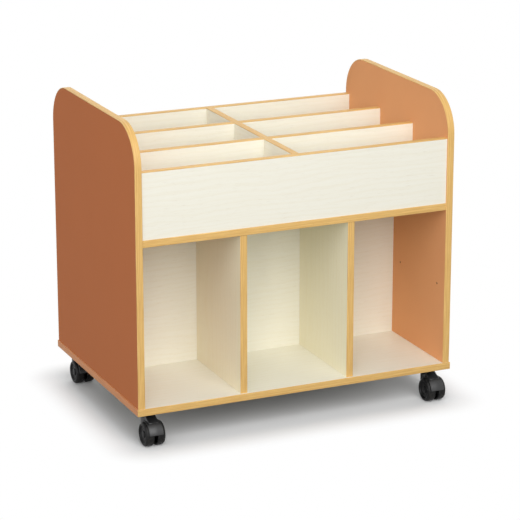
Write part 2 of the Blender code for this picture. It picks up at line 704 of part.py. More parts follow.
    def bore_hood(self, hood):
        """Cut the wheel wells, the kingpin's socket and the axle's bore."""
        axle = Vector((0, -CASTOR_TRAIL, AXLE_HEIGHT))
        across = Vector((1, 0, 0))
        wells = [(axle + across * sign * WEB / 2, axle + across * sign * HOOD_WIDTH) for sign in (-1, 1)]
        socket = [((0, 0, NECK_TOP), (0, 0, SOCKET_BOTTOM))]
        seat = [((0, 0, NECK_TOP + FIT), (0, 0, NECK_TOP - KINGPIN_COLLAR_HEIGHT - FIT))]
        bore = [(axle - across * WEB, axle + across * WEB)]
        cuts = {
            "wells": (wells, WELL_RADIUS, WELL_SIDES),
            "socket": (socket, KINGPIN_DIAMETER / 2 + FIT, PIN_SIDES),
            "collar_seat": (seat, KINGPIN_COLLAR_DIAMETER / 2 + FIT, PIN_SIDES),
            "axle_bore": (bore, AXLE_DIAMETER / 2 + FIT, PIN_SIDES),
        }
        for name, (ends, radius, sides) in cuts.items():
            tool = rods(f"{self.name}_{name}", ends, 2 * radius, sides)
            combine(hood, self.add(tool, None), "DIFFERENCE")

    def build_axle(self):
        """Turn the axle pin that both wheels run on."""
        radius, half = AXLE_DIAMETER / 2, AXLE_LENGTH / 2
        profile = [
            (0, half),
            (radius - AXLE_CHAMFER, half),
            (radius, half - AXLE_CHAMFER),
            (radius, AXLE_CHAMFER - half),
            (radius - AXLE_CHAMFER, -half),
            (0, -half),
        ]
        axle = turned(f"{self.name}_axle", profile, PIN_SIDES)
        self.add(axle, "zinc_steel", (0, -CASTOR_TRAIL, AXLE_HEIGHT), (0, math.pi / 2, 0))

    def build_wheel(self, side, sign):
        """Turn one wheel: rounded tread, dished face with a hub cap, hollow inner side, blind bore."""
        outer, inner = WHEEL_OUTER, WHEEL_INNER
        cap, hub = HUB_CAP_DIAMETER / 2, HUB_DIAMETER / 2
        bore = AXLE_DIAMETER / 2 + FIT
        rim = WHEEL_RADIUS - TREAD_ROUND
        hollow = WHEEL_RADIUS - RIM_WALL
        disc = outer - DISH_DEPTH - WHEEL_DISC
        profile = [
            (0, outer - HUB_CAP_INSET),
            (cap, outer - HUB_CAP_INSET),
            (cap, outer - DISH_DEPTH),
            (rim - DISH_SLOPE, outer - DISH_DEPTH),
            *arc((rim, outer - TREAD_ROUND), TREAD_ROUND, math.pi / 2, 0, ROUND_STEPS),
            (WHEEL_RADIUS, inner),
            (hollow, inner),
            (hollow, disc),
            (hub, disc),
            (hub, inner),
            (bore, inner),
            (bore, AXLE_LENGTH / 2 + FIT),
            (0, AXLE_LENGTH / 2 + FIT),
        ]
        wheel = turned(f"{self.name}_wheel_{side}", profile, WHEEL_STEPS, start=math.pi / WHEEL_STEPS)
        place = (0, -CASTOR_TRAIL, AXLE_HEIGHT)
        self.add(wheel, "black_nylon", place, (0, sign * math.pi / 2, 0))


def main():
    """Build the trolley."""
    clear_scene()
    shop = Workshop()
    Case(shop)
    for name, x, y in castor_places():
        Castor(shop, name, x, y)


main()
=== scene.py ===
"""Looks of a mobile book trolley: its finishes, fine edge strips and end panels, and detailed castors.

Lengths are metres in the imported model's frame: +X along the front to the right, +Y to the back, +Z up.
"""

import json
import logging
import math
from dataclasses import dataclass
from enum import Enum
from typing import Any, Iterable, Sequence

import bmesh
import bpy
from mathutils import Matrix, Vector

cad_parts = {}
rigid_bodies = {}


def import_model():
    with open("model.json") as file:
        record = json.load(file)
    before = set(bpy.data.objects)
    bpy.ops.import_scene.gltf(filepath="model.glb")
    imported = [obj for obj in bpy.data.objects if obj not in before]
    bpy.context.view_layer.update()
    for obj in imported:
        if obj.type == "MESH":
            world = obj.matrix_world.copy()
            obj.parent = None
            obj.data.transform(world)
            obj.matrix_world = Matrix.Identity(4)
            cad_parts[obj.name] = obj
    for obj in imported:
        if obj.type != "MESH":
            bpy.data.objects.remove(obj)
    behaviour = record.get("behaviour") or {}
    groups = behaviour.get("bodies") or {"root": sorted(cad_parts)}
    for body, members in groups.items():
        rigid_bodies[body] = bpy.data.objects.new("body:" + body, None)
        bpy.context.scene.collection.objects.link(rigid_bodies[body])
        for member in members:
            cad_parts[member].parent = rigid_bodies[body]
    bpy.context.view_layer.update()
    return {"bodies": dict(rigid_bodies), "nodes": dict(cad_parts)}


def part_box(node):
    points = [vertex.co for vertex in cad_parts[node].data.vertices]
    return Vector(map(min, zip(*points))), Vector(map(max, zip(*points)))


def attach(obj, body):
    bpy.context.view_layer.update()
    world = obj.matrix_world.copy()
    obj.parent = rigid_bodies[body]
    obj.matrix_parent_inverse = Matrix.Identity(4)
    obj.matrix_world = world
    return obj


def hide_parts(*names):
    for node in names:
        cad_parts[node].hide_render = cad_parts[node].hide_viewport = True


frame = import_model()

log = logging.getLogger("book_trolley")

STRIP_MAP = "along_strip"  # the edge strips' UV map: length along the strip and way round its section
SHARP_ANGLE = math.radians(35)  # an edge that bends further is shaded sharp
MERGE = 1e-6  # points that lie closer become one
GLUE_LINE = 0.0002  # the gap between pieces that are glued or pressed together
TEXTURE_DEPTH = 0.0002  # how deep the texture of a finish is

SIDE_ON = Matrix(((0, 0, 1, 0), (1, 0, 0, 0), (0, 1, 0, 0), (0, 0, 0, 1)))  # an XY outline stood up in YZ
LAID = Matrix.Rotation(math.pi / 2, 4, "Y")  # a form turned about Z and then laid along X

Colour = tuple[float, float, float, float]


def tone(red: float, green: float, blue: float) -> Colour:
    """Turn a colour as a screen shows it into linear light.

    Args:
        red: Red level, from 0 to 255.
        green: Green level, from 0 to 255.
        blue: Blue level, from 0 to 255.

    Returns:
        The linear colour, with full alpha.
    """
    levels = [level / 255 for level in (red, green, blue)]
    linear = [v / 12.92 if v <= 0.04045 else ((v + 0.055) / 1.055) ** 2.4 for v in levels]
    return (*linear, 1.0)


class Axis(Enum):
    """A direction in the model's frame."""

    X = 0
    Y = 1
    Z = 2

    def stretch(self, along: float, across: float) -> tuple[float, ...]:
        """Give the scale of a pattern that runs along this axis."""
        return tuple(along if axis is self else across for axis in Axis)


class Side(Enum):
    """The left or the right of the trolley, as the nodes' names have it."""

    LEFT = "left"
    RIGHT = "right"


class Row(Enum):
    """The front or the back of the trolley, as the nodes' names have it."""

    FRONT = "front"
    BACK = "back"


class Joining(Enum):
    """What tools do to the piece that they are used on, as the modifier calls it."""

    CUT = "DIFFERENCE"
    JOIN = "UNION"


class Signal:
    """A shader socket that Python's arithmetic works on."""

    def __init__(self, graph: "Graph", socket: bpy.types.NodeSocket | None) -> None:
        """Keep the socket and the graph that it belongs to."""
        self.graph = graph
        self.socket = socket

    def maths(self, operation: str, *values: "Value") -> "Signal":
        """Add one Math node on these values."""
        return self.graph.add("ShaderNodeMath", {"operation": operation}, dict(enumerate(values)))

    def __add__(self, other: "Value") -> "Signal":
        """Add a value to this one."""
        return self.maths("ADD", self, other)

    def __radd__(self, other: "Value") -> "Signal":
        """Add this one to a value."""
        return self.maths("ADD", other, self)

    def __sub__(self, other: "Value") -> "Signal":
        """Take a value from this one."""
        return self.maths("SUBTRACT", self, other)

    def __rsub__(self, other: "Value") -> "Signal":
        """Take this one from a value."""
        return self.maths("SUBTRACT", other, self)

    def __mul__(self, other: "Value") -> "Signal":
        """Multiply this one by a value."""
        return self.maths("MULTIPLY", self, other)

    def __rmul__(self, other: "Value") -> "Signal":
        """Multiply a value by this one."""
        return self.maths("MULTIPLY", other, self)


Value = Signal | float | Sequence[float]


class Graph:
    """The node tree of one material or of the world."""

    def __init__(self, tree: bpy.types.NodeTree) -> None:
        """Start with an empty tree."""
        self.tree = tree
        tree.nodes.clear()

    def add(
        self,
        kind: str,
        settings: dict[str, Any] | None = None,
        inputs: dict[int | str, Value] | None = None,
        output: int | str = 0,
    ) -> Signal:
        """Add a node.

        Args:
            kind: The node's type.
            settings: What is set on the node itself, before its sockets.
            inputs: Values or links of its sockets, by name or number.
            output: The socket that is given back, by name or number.

        Returns:
            That output, or an empty signal from a node that has none.
        """
        node = self.tree.nodes.new(kind)
        for name, setting in (settings or {}).items():
            setattr(node, name, setting)
        for name, value in (inputs or {}).items():
            if isinstance(value, Signal):
                self.tree.links.new(value.socket, node.inputs[name])
            else:
                node.inputs[name].default_value = value
        return Signal(self, node.outputs[output] if node.outputs else None)

    def place(self) -> Signal:
        """Give the place on the piece, in metres about its origin."""
        return self.add("ShaderNodeTexCoord", output="Object")

    def vector(self, operation: str, *values: Value, output: str = "Vector") -> Signal:
        """Add one Vector Math node on these values."""
        return self.add("ShaderNodeVectorMath", {"operation": operation}, dict(enumerate(values)), output)

    def scaled(self, vector: Signal, scale: Sequence[float]) -> Signal:
        """Stretch a vector by a scale for each axis."""
        return self.vector("MULTIPLY", vector, tuple(scale))

    def noise(
        self, vector: Signal, scale: float = 1.0, detail: float = 2.0, roughness: float = 0.5
    ) -> Signal:
        """Add cloudy noise, from 0 to 1 about a half."""
        inputs = {"Vector": vector, "Scale": scale, "Detail": detail, "Roughness": roughness}
        return self.add("ShaderNodeTexNoise", None, inputs)

    def ramp(self, value: Signal, low: float, high: float) -> Signal:
        """Rise smoothly from 0 at one value to 1 at another."""
        inputs = {"Value": value, "From Min": low, "From Max": high}
        return self.add("ShaderNodeMapRange", {"interpolation_type": "SMOOTHSTEP"}, inputs)

    def mix(self, factor: Value, first: Value, second: Value) -> Signal:
        """Mix two colours."""
        inputs = {0: factor, 6: first, 7: second}
        return self.add("ShaderNodeMix", {"data_type": "RGBA"}, inputs, output=2)

    def bump(self, height: Signal, strength: float, distance: float = TEXTURE_DEPTH) -> Signal:
        """Tilt the normal by a height."""
        inputs = {"Height": height, "Strength": strength, "Distance": distance}
        return self.add("ShaderNodeBump", None, inputs)

    def seen(self) -> Signal:
        """Tell the rays that show a surface from those that only carry light.

        Returns:
            1 on rays from the camera, in mirrors and through glass, and 0 on the others.
        """
        camera = self.add("ShaderNodeLightPath", output="Is Camera Ray")
        outputs = camera.socket.node.outputs
        glossy, through = (Signal(self, outputs[f"Is {kind} Ray"]) for kind in ("Glossy", "Transmission"))
        return camera.maths("MINIMUM", camera + glossy + through, 1.0)


@dataclass(frozen=True)
class Finish:
    """A finish that is made into a material."""

    name: str

    def build(self) -> bpy.types.Material:
        """Make the material.

        Returns:
            A material with this finish's nodes.
        """
        material = bpy.data.materials.new(self.name)
        material.use_nodes = True
        graph = Graph(material.node_tree)
        graph.add("ShaderNodeOutputMaterial", None, {"Surface": self.shade(graph)})
        return material

    def shade(self, graph: Graph) -> Signal:
        """Give the finish's shader; each finish has its own."""
        raise NotImplementedError(self.name)


@dataclass(frozen=True)
class MapleFacing(Finish):
    """Pale maple decor on faced board.

    Attributes:
        grain: The way its grain runs.
        pale: Its ground.
        dark: Its fibres and growth figure.
        pore: Its short pores.
        fibre_scale: How closely the fibres change along the grain and across it.
        figure_scale: The same for the growth figure.
        pore_scale: The same for the pores.
        fibre_share: How strongly the fibres colour the ground.
        figure_share: The same for the growth figure.
        pore_share: The same for the pores.
    """

    grain: Axis = Axis.X
    pale: Colour = tone(246, 244, 232)
    dark: Colour = tone(232, 223, 194)
    pore: Colour = tone(204, 188, 161)
    fibre_scale: tuple[float, float] = (5, 150)
    figure_scale: tuple[float, float] = (4, 13)
    pore_scale: tuple[float, float] = (45, 1200)
    fibre_share: float = 0.34
    figure_share: float = 0.09
    pore_share: float = 0.28

    def shade(self, graph: Graph) -> Signal:
        """Lay fibres, growth figure and short pores on a satin surface.

        Args:
            graph: The material's node tree.

        Returns:
            The shader.
        """
        place = graph.place()
        along_fibres, along_figure, along_pores = (
            graph.scaled(place, self.grain.stretch(*scale))
            for scale in (self.fibre_scale, self.figure_scale, self.pore_scale)
        )
        fibres = graph.noise(along_fibres, detail=5, roughness=0.6)
        figure = graph.add(
            "ShaderNodeTexWave",
            {"wave_type": "RINGS", "rings_direction": self.grain.name},
            {"Vector": along_figure, "Scale": 1.8, "Distortion": 11, "Detail": 3, "Detail Scale": 0.6},
            "Fac",
        )
        pores = graph.ramp(graph.noise(along_pores), low=0.62, high=0.74)
        crests = graph.ramp(figure, low=0.5, high=1.0)
        figured = self.fibre_share * fibres + self.figure_share * crests
        colour = graph.mix(figured, self.pale, self.dark)
        inputs = {
            "Base Color": graph.mix(self.pore_share * pores, colour, self.pore),
            "Roughness": 0.38 + 0.12 * fibres,
            "Normal": graph.bump(0.5 * fibres - pores, strength=0.2),
            "Specular IOR Level": 0.5,
        }
        return graph.add("ShaderNodeBsdfPrincipled", None, inputs)


@dataclass(frozen=True)
class ShadedDividerFacing(MapleFacing):
    """A yellower copy of the maple decor for the bay dividers: painted shade, standing in for the yellowed
    light bounced between the boards in the bays.
    """

    pale: Colour = tone(247, 241, 216)
    dark: Colour = tone(235, 222, 182)


@dataclass(frozen=True)
class TerracottaFacing(Finish):
    """Plain terracotta facing with a fine pearl texture on a brown core; its inner faces are painted paler,
    a painted reflection of the maple boards that face them.

    Attributes:
        inner: How far the end panels' inner faces lie from the middle.
        outer: How far their outer faces lie from it.
        skin: How deep the facing goes below each face.
        warm: The outer faces.
        pale: The inner faces, painted paler as a painted reflection of the maple boards that face them.
        clouded: What faint clouds turn the faces to.
        speck: The high spots of the texture.
        core: The board between the facings.
        cloud_share: How strongly the clouds show.
        speck_share: How strongly the high spots show.
    """

    inner: float = 0.0
    outer: float = 0.0
    skin: float = 0.0003
    warm: Colour = tone(213, 128, 79)
    pale: Colour = tone(231, 167, 117)
    clouded: Colour = tone(178, 104, 62)
    speck: Colour = tone(226, 156, 108)
    core: Colour = tone(104, 72, 48)
    cloud_share: float = 0.16
    speck_share: float = 0.16

    def shade(self, graph: Graph) -> Signal:
        """Cloud the colour slightly and raise the pearl texture.

        Args:
            graph: The material's node tree.

        Returns:
            The shader.
        """
        place = graph.place()
        across = graph.add("ShaderNodeSeparateXYZ", None, {0: place}, "X")
        depth = across.maths("ABSOLUTE", across)
        indoors = depth.maths("LESS_THAN", depth, self.inner + self.skin)
        outdoors = depth.maths("GREATER_THAN", depth, self.outer - self.skin)
        cloud = graph.noise(place, scale=6, detail=4)
        pearl = graph.noise(place, scale=1300)
        # painted reflection: the inner faces get the paler colour, which stands in for light reflected from
        # the maple boards they face
        colour = graph.mix(indoors, self.warm, self.pale)
        colour = graph.mix(self.cloud_share * cloud, colour, self.clouded)
        specks = graph.ramp(pearl, low=0.56, high=0.76)
        colour = graph.mix(self.speck_share * specks, colour, self.speck)
        inputs = {
            "Base Color": graph.mix(indoors + outdoors, self.core, colour),
            "Roughness": 0.38 + 0.14 * pearl,
            "Normal": graph.bump(pearl, strength=0.25),
            "Specular IOR Level": 0.02,
        }
        return graph.add("ShaderNodeBsdfPrincipled", None, inputs)


@dataclass(frozen=True)
class OakStrip(Finish):
    """Tan edge strip with straight oak streaks along its run.

    Attributes:
        tan: Its ground.
        streak: Its streaks.
        fleck: Its short flecks.
        streak_scale: How closely the streaks change along the strip and across it.
        fleck_scale: The same for the flecks.
        fleck_share: How strongly the flecks show.
    """

    tan: Colour = tone(239, 199, 126)
    streak: Colour = tone(211, 163, 90)
    fleck: Colour = tone(188, 136, 72)
    streak_scale: tuple[float, float, float] = (9, 380, 1)
    fleck_scale: tuple[float, float, float] = (50, 1500, 1)
    fleck_share: float = 0.4

    def shade(self, graph: Graph) -> Signal:
        """Run streaks and short flecks along the strip.

        Args:
            graph: The material's node tree.

        Returns:
            The shader.
        """
        run = graph.add("ShaderNodeUVMap", {"uv_map": STRIP_MAP})
        streaks = graph.noise(graph.scaled(run, self.streak_scale), detail=4, roughness=0.65)
        flecks = graph.ramp(graph.noise(graph.scaled(run, self.fleck_scale)), low=0.6, high=0.74)
        colour = graph.mix(graph.ramp(streaks, low=0.3, high=0.72), self.tan, self.streak)
        inputs = {
            "Base Color": graph.mix(self.fleck_share * flecks, colour, self.fleck),
            "Roughness": 0.36 + 0.14 * streaks,
            "Normal": graph.bump(0.4 * streaks - flecks, strength=0.2),
            "Specular IOR Level": 0.38,
        }
        return graph.add("ShaderNodeBsdfPrincipled", None, inputs)


@dataclass(frozen=True)
class ShadedOakStrip(OakStrip):
    """A darker, browner copy of the oak strip for the base's short edges: painted shade on those sides."""

    tan: Colour = tone(224, 147, 78)
    streak: Colour = tone(204, 125, 60)
    fleck: Colour = tone(180, 100, 44)


@dataclass(frozen=True)
class BlackNylon(Finish):
    """Black moulded nylon with a fine spark texture.

    Attributes:
        black: The low spots of the texture.
        grey: Its high spots.
        dust: What dust turns it to.
        dust_from: Radius about the piece's X axis at which dust begins; 1 m leaves a piece clean.
        dust_to: Radius at which the dust is full.
        dust_share: How strongly the dust shows.
        gloss: How strongly it reflects.
    """

    black: Colour = tone(8, 8, 9)
    grey: Colour = tone(17, 17, 18)
    dust: Colour = tone(70, 67, 63)
    dust_from: float = 1.0
    dust_to: float = 2.0
    dust_share: float = 0.35
    gloss: float = 0.7

    def shade(self, graph: Graph) -> Signal:
        """Spark the surface, and scuff it where it rolls.

        Args:
            graph: The material's node tree.

        Returns:
            The shader.
        """
        place = graph.place()
        spark = graph.noise(place, scale=1800)
        smear = graph.noise(place, scale=160, detail=4, roughness=0.6)
        radius = graph.vector("LENGTH", graph.scaled(place, (0, 1, 1)), output="Value")
        worn = graph.ramp(radius, self.dust_from, self.dust_to) * graph.ramp(smear, low=0.38, high=0.7)
        colour = graph.mix(spark, self.black, self.grey)
        inputs = {
            "Base Color": graph.mix(self.dust_share * worn, colour, self.dust),
            "Roughness": 0.36 + 0.1 * spark + 0.2 * worn,
            "Normal": graph.bump(spark, strength=0.2),
            "Specular IOR Level": self.gloss,
        }
        return graph.add("ShaderNodeBsdfPrincipled", None, inputs)


@dataclass(frozen=True)
class TreadNylon(BlackNylon):
    """The duller nylon of the wheels, with dust on their treads."""

    dust_from: float = 0.0278
    dust_to: float = 0.0292
    gloss: float = 0.2


@dataclass(frozen=True)
class ZincSteel(Finish):
    """Zinc-plated steel with a faint spangle."""

    bright: Colour = tone(196, 200, 204)
    dull: Colour = tone(160, 165, 171)

    def shade(self, graph: Graph) -> Signal:
        """Spangle the plating and brush its gloss.

        Args:
            graph: The material's node tree.

        Returns:
            The shader.
        """
        place = graph.place()
        spangle = graph.add("ShaderNodeTexVoronoi", None, {"Vector": place, "Scale": 420}, "Color")
        level = graph.add("ShaderNodeSeparateColor", None, {"Color": spangle})
        grain = graph.noise(place, scale=900, detail=3)
        inputs = {
            "Base Color": graph.mix(level, self.bright, self.dull),
            "Roughness": 0.28 + 0.12 * level + 0.08 * grain,
            "Metallic": 1.0,
            "Normal": graph.bump(grain, strength=0.1, distance=TEXTURE_DEPTH / 2),
        }
        return graph.add("ShaderNodeBsdfPrincipled", None, inputs)


@dataclass(frozen=True)
class StudioFloor(Finish):
    """White floor that takes the trolley's shadow, painted a duller white under the trolley as painted
    shade, and fades to plain white further off.

    Attributes:
        grey: What the floor reflects on the trolley.
        pale: What the eye sees under the trolley: a duller white than further off, painted shade that
            darkens the floor there.
        white: What the eye sees further off.
        footprint: Half the sides of the oblong where the floor is pale.
        fade_to: How far outside that oblong the floor is plain white.
    """

    grey: Colour = (0.15, 0.15, 0.15, 1.0)
    pale: Colour = (0.88, 0.88, 0.88, 1.0)
    white: Colour = (1.0, 1.0, 1.0, 1.0)
    footprint: tuple[float, float, float] = (0.405, 0.275, 0.0)
    fade_to: float = 0.125

    def shade(self, graph: Graph) -> Signal:
        """Show the eye a white floor, and reflect less of the lamps up on the trolley.

        Args:
            graph: The material's node tree.

        Returns:
            The shader.
        """
        seen = graph.seen()
        matt = graph.add("ShaderNodeBsdfDiffuse", None, {"Color": graph.mix(seen, self.grey, self.pale)})
        plain = graph.add("ShaderNodeEmission", None, {"Color": self.white})
        beyond = graph.vector("SUBTRACT", graph.vector("ABSOLUTE", graph.place()), self.footprint)
        away = graph.vector("LENGTH", graph.vector("MAXIMUM", beyond, (0, 0, 0)), output="Value")
        # painted shade: inside the oblong round the trolley the floor is the duller pale white; from its
        # edge it fades to plain white, which paints out the trolley's shadow further off
        factor = seen * graph.ramp(away, 0.0, self.fade_to)
        return graph.add("ShaderNodeMixShader", None, {0: factor, 1: matt, 2: plain})


@dataclass(frozen=True)
class Corner:
    """A corner of an outline, and the radius that rounds it."""

    x: float
    y: float
    radius: float = 0.0

    def point(self) -> Vector:
        """Give the corner's place."""
        return Vector((self.x, self.y))

    def raised(self, rise: float) -> "Corner":
        """Give the same corner further up."""
        return Corner(self.x, self.y + rise, self.radius)

    def mirrored(self) -> "Corner":
        """Give the corner that faces it across the Y axis."""
        return Corner(-self.x, self.y, self.radius)


def oblong(width: float, depth: float, radius: float = 0.0) -> list[Corner]:
    """List the corners of an oblong about the origin."""
    return [Corner(x * width / 2, y * depth / 2, radius) for x, y in ((1, 1), (-1, 1), (-1, -1), (1, -1))]


def rounded(corners: Sequence[Corner], steps: int = 5) -> list[Vector]:
    """Draw an outline whose corners are rounded by arcs.

    Args:
        corners: The outline's corners in order; a first and last corner with no radius may be left open.
        steps: Straight pieces in each arc.

    Returns:
        The outline's points.
    """
    points = []
    for index, corner in enumerate(corners):
        here = corner.point()
        if corner.radius == 0:
            points.append(here)
            continue
        before = (corners[index - 1].point() - here).normalized()
        after = (corners[(index + 1) % len(corners)].point() - here).normalized()
        half = before.angle(after) / 2
        centre = here + (before + after).normalized() * corner.radius / math.sin(half)
        arm = here + before * corner.radius / math.tan(half) - centre
        turn = (math.pi - 2 * half) * (1 if before.cross(after) < 0 else -1)
        points += [centre + Matrix.Rotation(turn * step / steps, 2) @ arm for step in range(steps + 1)]
    return points


def shade_round(mesh: bpy.types.Mesh) -> bpy.types.Mesh:
    """Shade a mesh smooth, apart from its sharp edges, with no stored normals left from a cutter.

    Args:
        mesh: The mesh.

    Returns:
        The same mesh.
    """
    if stored := mesh.attributes.get("custom_normal"):
        mesh.attributes.remove(stored)
    mesh.shade_smooth()
    mesh.set_sharp_from_angle(angle=SHARP_ANGLE)
    return mesh


def mesh_from(form: bmesh.types.BMesh, name: str) -> bpy.types.Mesh:
    """Turn a form into a mesh with its faces outward and its round faces smooth.

    Args:
        form: The form, which is freed.
        name: The mesh's name.

    Returns:
        The mesh.
    """
    bmesh.ops.recalc_face_normals(form, faces=form.faces)
    mesh = bpy.data.meshes.new(name)
    form.to_mesh(mesh)
    form.free()
    return shade_round(mesh)


def turned(name: str, profile: Sequence[Vector], sides: int) -> bpy.types.Mesh:
    """Turn a profile about Z.

    Args:
        name: The mesh's name.
        profile: Points of radius and height, from the axis round to the axis again.
        sides: Steps round the axis.

    Returns:
        A closed mesh.
    """
    form = bmesh.new()
    points = [form.verts.new((point.x, 0, point.y)) for point in profile]
    edges = [form.edges.new(pair) for pair in zip(points, points[1:])]
    around = {"cent": (0, 0, 0), "axis": (0, 0, 1), "angle": 2 * math.pi, "steps": sides}
    bmesh.ops.spin(form, geom=points + edges, use_merge=True, **around)
    bmesh.ops.remove_doubles(form, verts=form.verts, dist=MERGE)
    return mesh_from(form, name)


def round_bar(name: str, radius: float, low: float, high: float, sides: int) -> bpy.types.Mesh:
    """Turn a plain round bar about Z.

    Args:
        name: The mesh's name.
        radius: Its radius.
        low: Height of its lower end.
        high: Height of its upper end.
        sides: Steps round the axis.

    Returns:
        A closed mesh.
    """
    corners = [Corner(0, high), Corner(radius, high), Corner(radius, low), Corner(0, low)]
    return turned(name, rounded(corners), sides)


def slab(name: str, outline: Sequence[Vector], low: float, high: float) -> bpy.types.Mesh:
    """Make a flat piece from its outline.

    Args:
        name: The mesh's name.
        outline: Points in the XY plane.
        low: Height of its lower face.
        high: Height of its upper face.

    Returns:
        A closed mesh.
    """
    form = bmesh.new()
    face = form.faces.new([form.verts.new((point.x, point.y, low)) for point in outline])
    top = bmesh.ops.extrude_face_region(form, geom=[face])["geom"]
    rise = Vector((0, 0, high - low))
    bmesh.ops.translate(form, verts=[v for v in top if isinstance(v, bmesh.types.BMVert)], vec=rise)
    return mesh_from(form, name)


def swept(
    name: str, section: Sequence[Vector], stations: Sequence[tuple[Vector, Vector]], across: Vector
) -> bpy.types.Mesh:
    """Run a section along stations, with a UV map that follows the run.

    Args:
        name: The mesh's name.
        section: Points of the closed section: across the strip, and out from the board.
        stations: Places on the board's edge, each with its way out from the board.
        across: The way across the strip.

    Returns:
        A closed mesh with the strip's UV map.
    """
    form = bmesh.new()
    layer = form.loops.layers.uv.new(STRIP_MAP)
    around = [0.0]
    for here, there in zip(section, [*section[1:], section[0]]):
        around.append(around[-1] + (there - here).length)
    rings, along = [], [0.0]
    for foot, out in stations:
        rings.append([form.verts.new(foot + across * point.x + out * point.y) for point in section])
    for (here, _), (there, _) in zip(stations, stations[1:]):
        along.append(along[-1] + (there - here).length)
    count = len(section)
    for start, (ring, following) in enumerate(zip(rings, rings[1:])):
        for side in range(count):
            turn = (side + 1) % count
            face = form.faces.new((ring[side], ring[turn], following[turn], following[side]))
            spots = ((start, side), (start, side + 1), (start + 1, side + 1), (start + 1, side))
            for loop, (step, way) in zip(face.loops, spots):
                loop[layer].uv = (along[step], around[way])
    for ring, reach in ((rings[0], along[0]), (rings[-1], along[-1])):
        for loop, point in zip(form.faces.new(ring).loops, section):
            loop[layer].uv = (reach + point.y, point.x)
    return mesh_from(form, name)


def add_object(name: str, data: bpy.types.ID, place: Sequence[float] = (0, 0, 0)) -> bpy.types.Object:
    """Put a mesh, a lamp or a camera in the scene.

    Args:
        name: The object's name.
        data: What it shows.
        place: Its origin.

    Returns:
        The object.
    """
    obj = bpy.data.objects.new(name, data)
    obj.location = place
    bpy.context.scene.collection.objects.link(obj)
    return obj


def settle(obj: bpy.types.Object) -> None:
    """Replace an object's mesh by what its modifiers make of it.

    Args:
        obj: The object, whose modifiers are then removed.
    """
    shaped = obj.evaluated_get(bpy.context.evaluated_depsgraph_get())
    mesh = bpy.data.meshes.new_from_object(shaped)
    obj.modifiers.clear()
    obj.data = shade_round(mesh)


def combine(obj: bpy.types.Object, tools: Iterable[bpy.types.Object], joining: Joining) -> None:
    """Cut tools out of an object, or join them to it.

    Args:
        obj: The object that is changed.
        tools: The objects that cut it or join it.
        joining: Which of the two they do.
    """
    for tool in tools:
        modifier = obj.modifiers.new(tool.name, "BOOLEAN")
        modifier.operation = joining.value
        modifier.object = tool
    settle(obj)


def discard(objects: Iterable[bpy.types.Object]) -> None:
    """Remove tools that have done their work."""
    for obj in objects:
        bpy.data.objects.remove(obj)


def middle(node: str) -> Vector:
    """Give the middle of a node's box."""
    low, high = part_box(node)
    return (low + high) / 2


@dataclass(frozen=True)
class Fitting:
    """What a piece belongs to: its body, the record's slot for its finish, which is not used, and its
    material.
    """

    body: str
    slot: str
    material: bpy.types.Material

    def fit(self, obj: bpy.types.Object, node: str) -> None:
        """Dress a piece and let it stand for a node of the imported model.

        Args:
            obj: The piece.
            node: The node that it replaces.
        """
        obj.data.materials.clear()
        obj.data.materials.append(self.material)
        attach(obj, self.body)
        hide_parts(node)
        log.info("%s rides on %s for %s", obj.name, self.body, node)


@dataclass(frozen=True)
class Board:
    """A maple-faced board: its node, the way its grain runs, and the edge strips on it."""

    node: str
    grain: Axis
    strips: tuple[str, ...] = ()


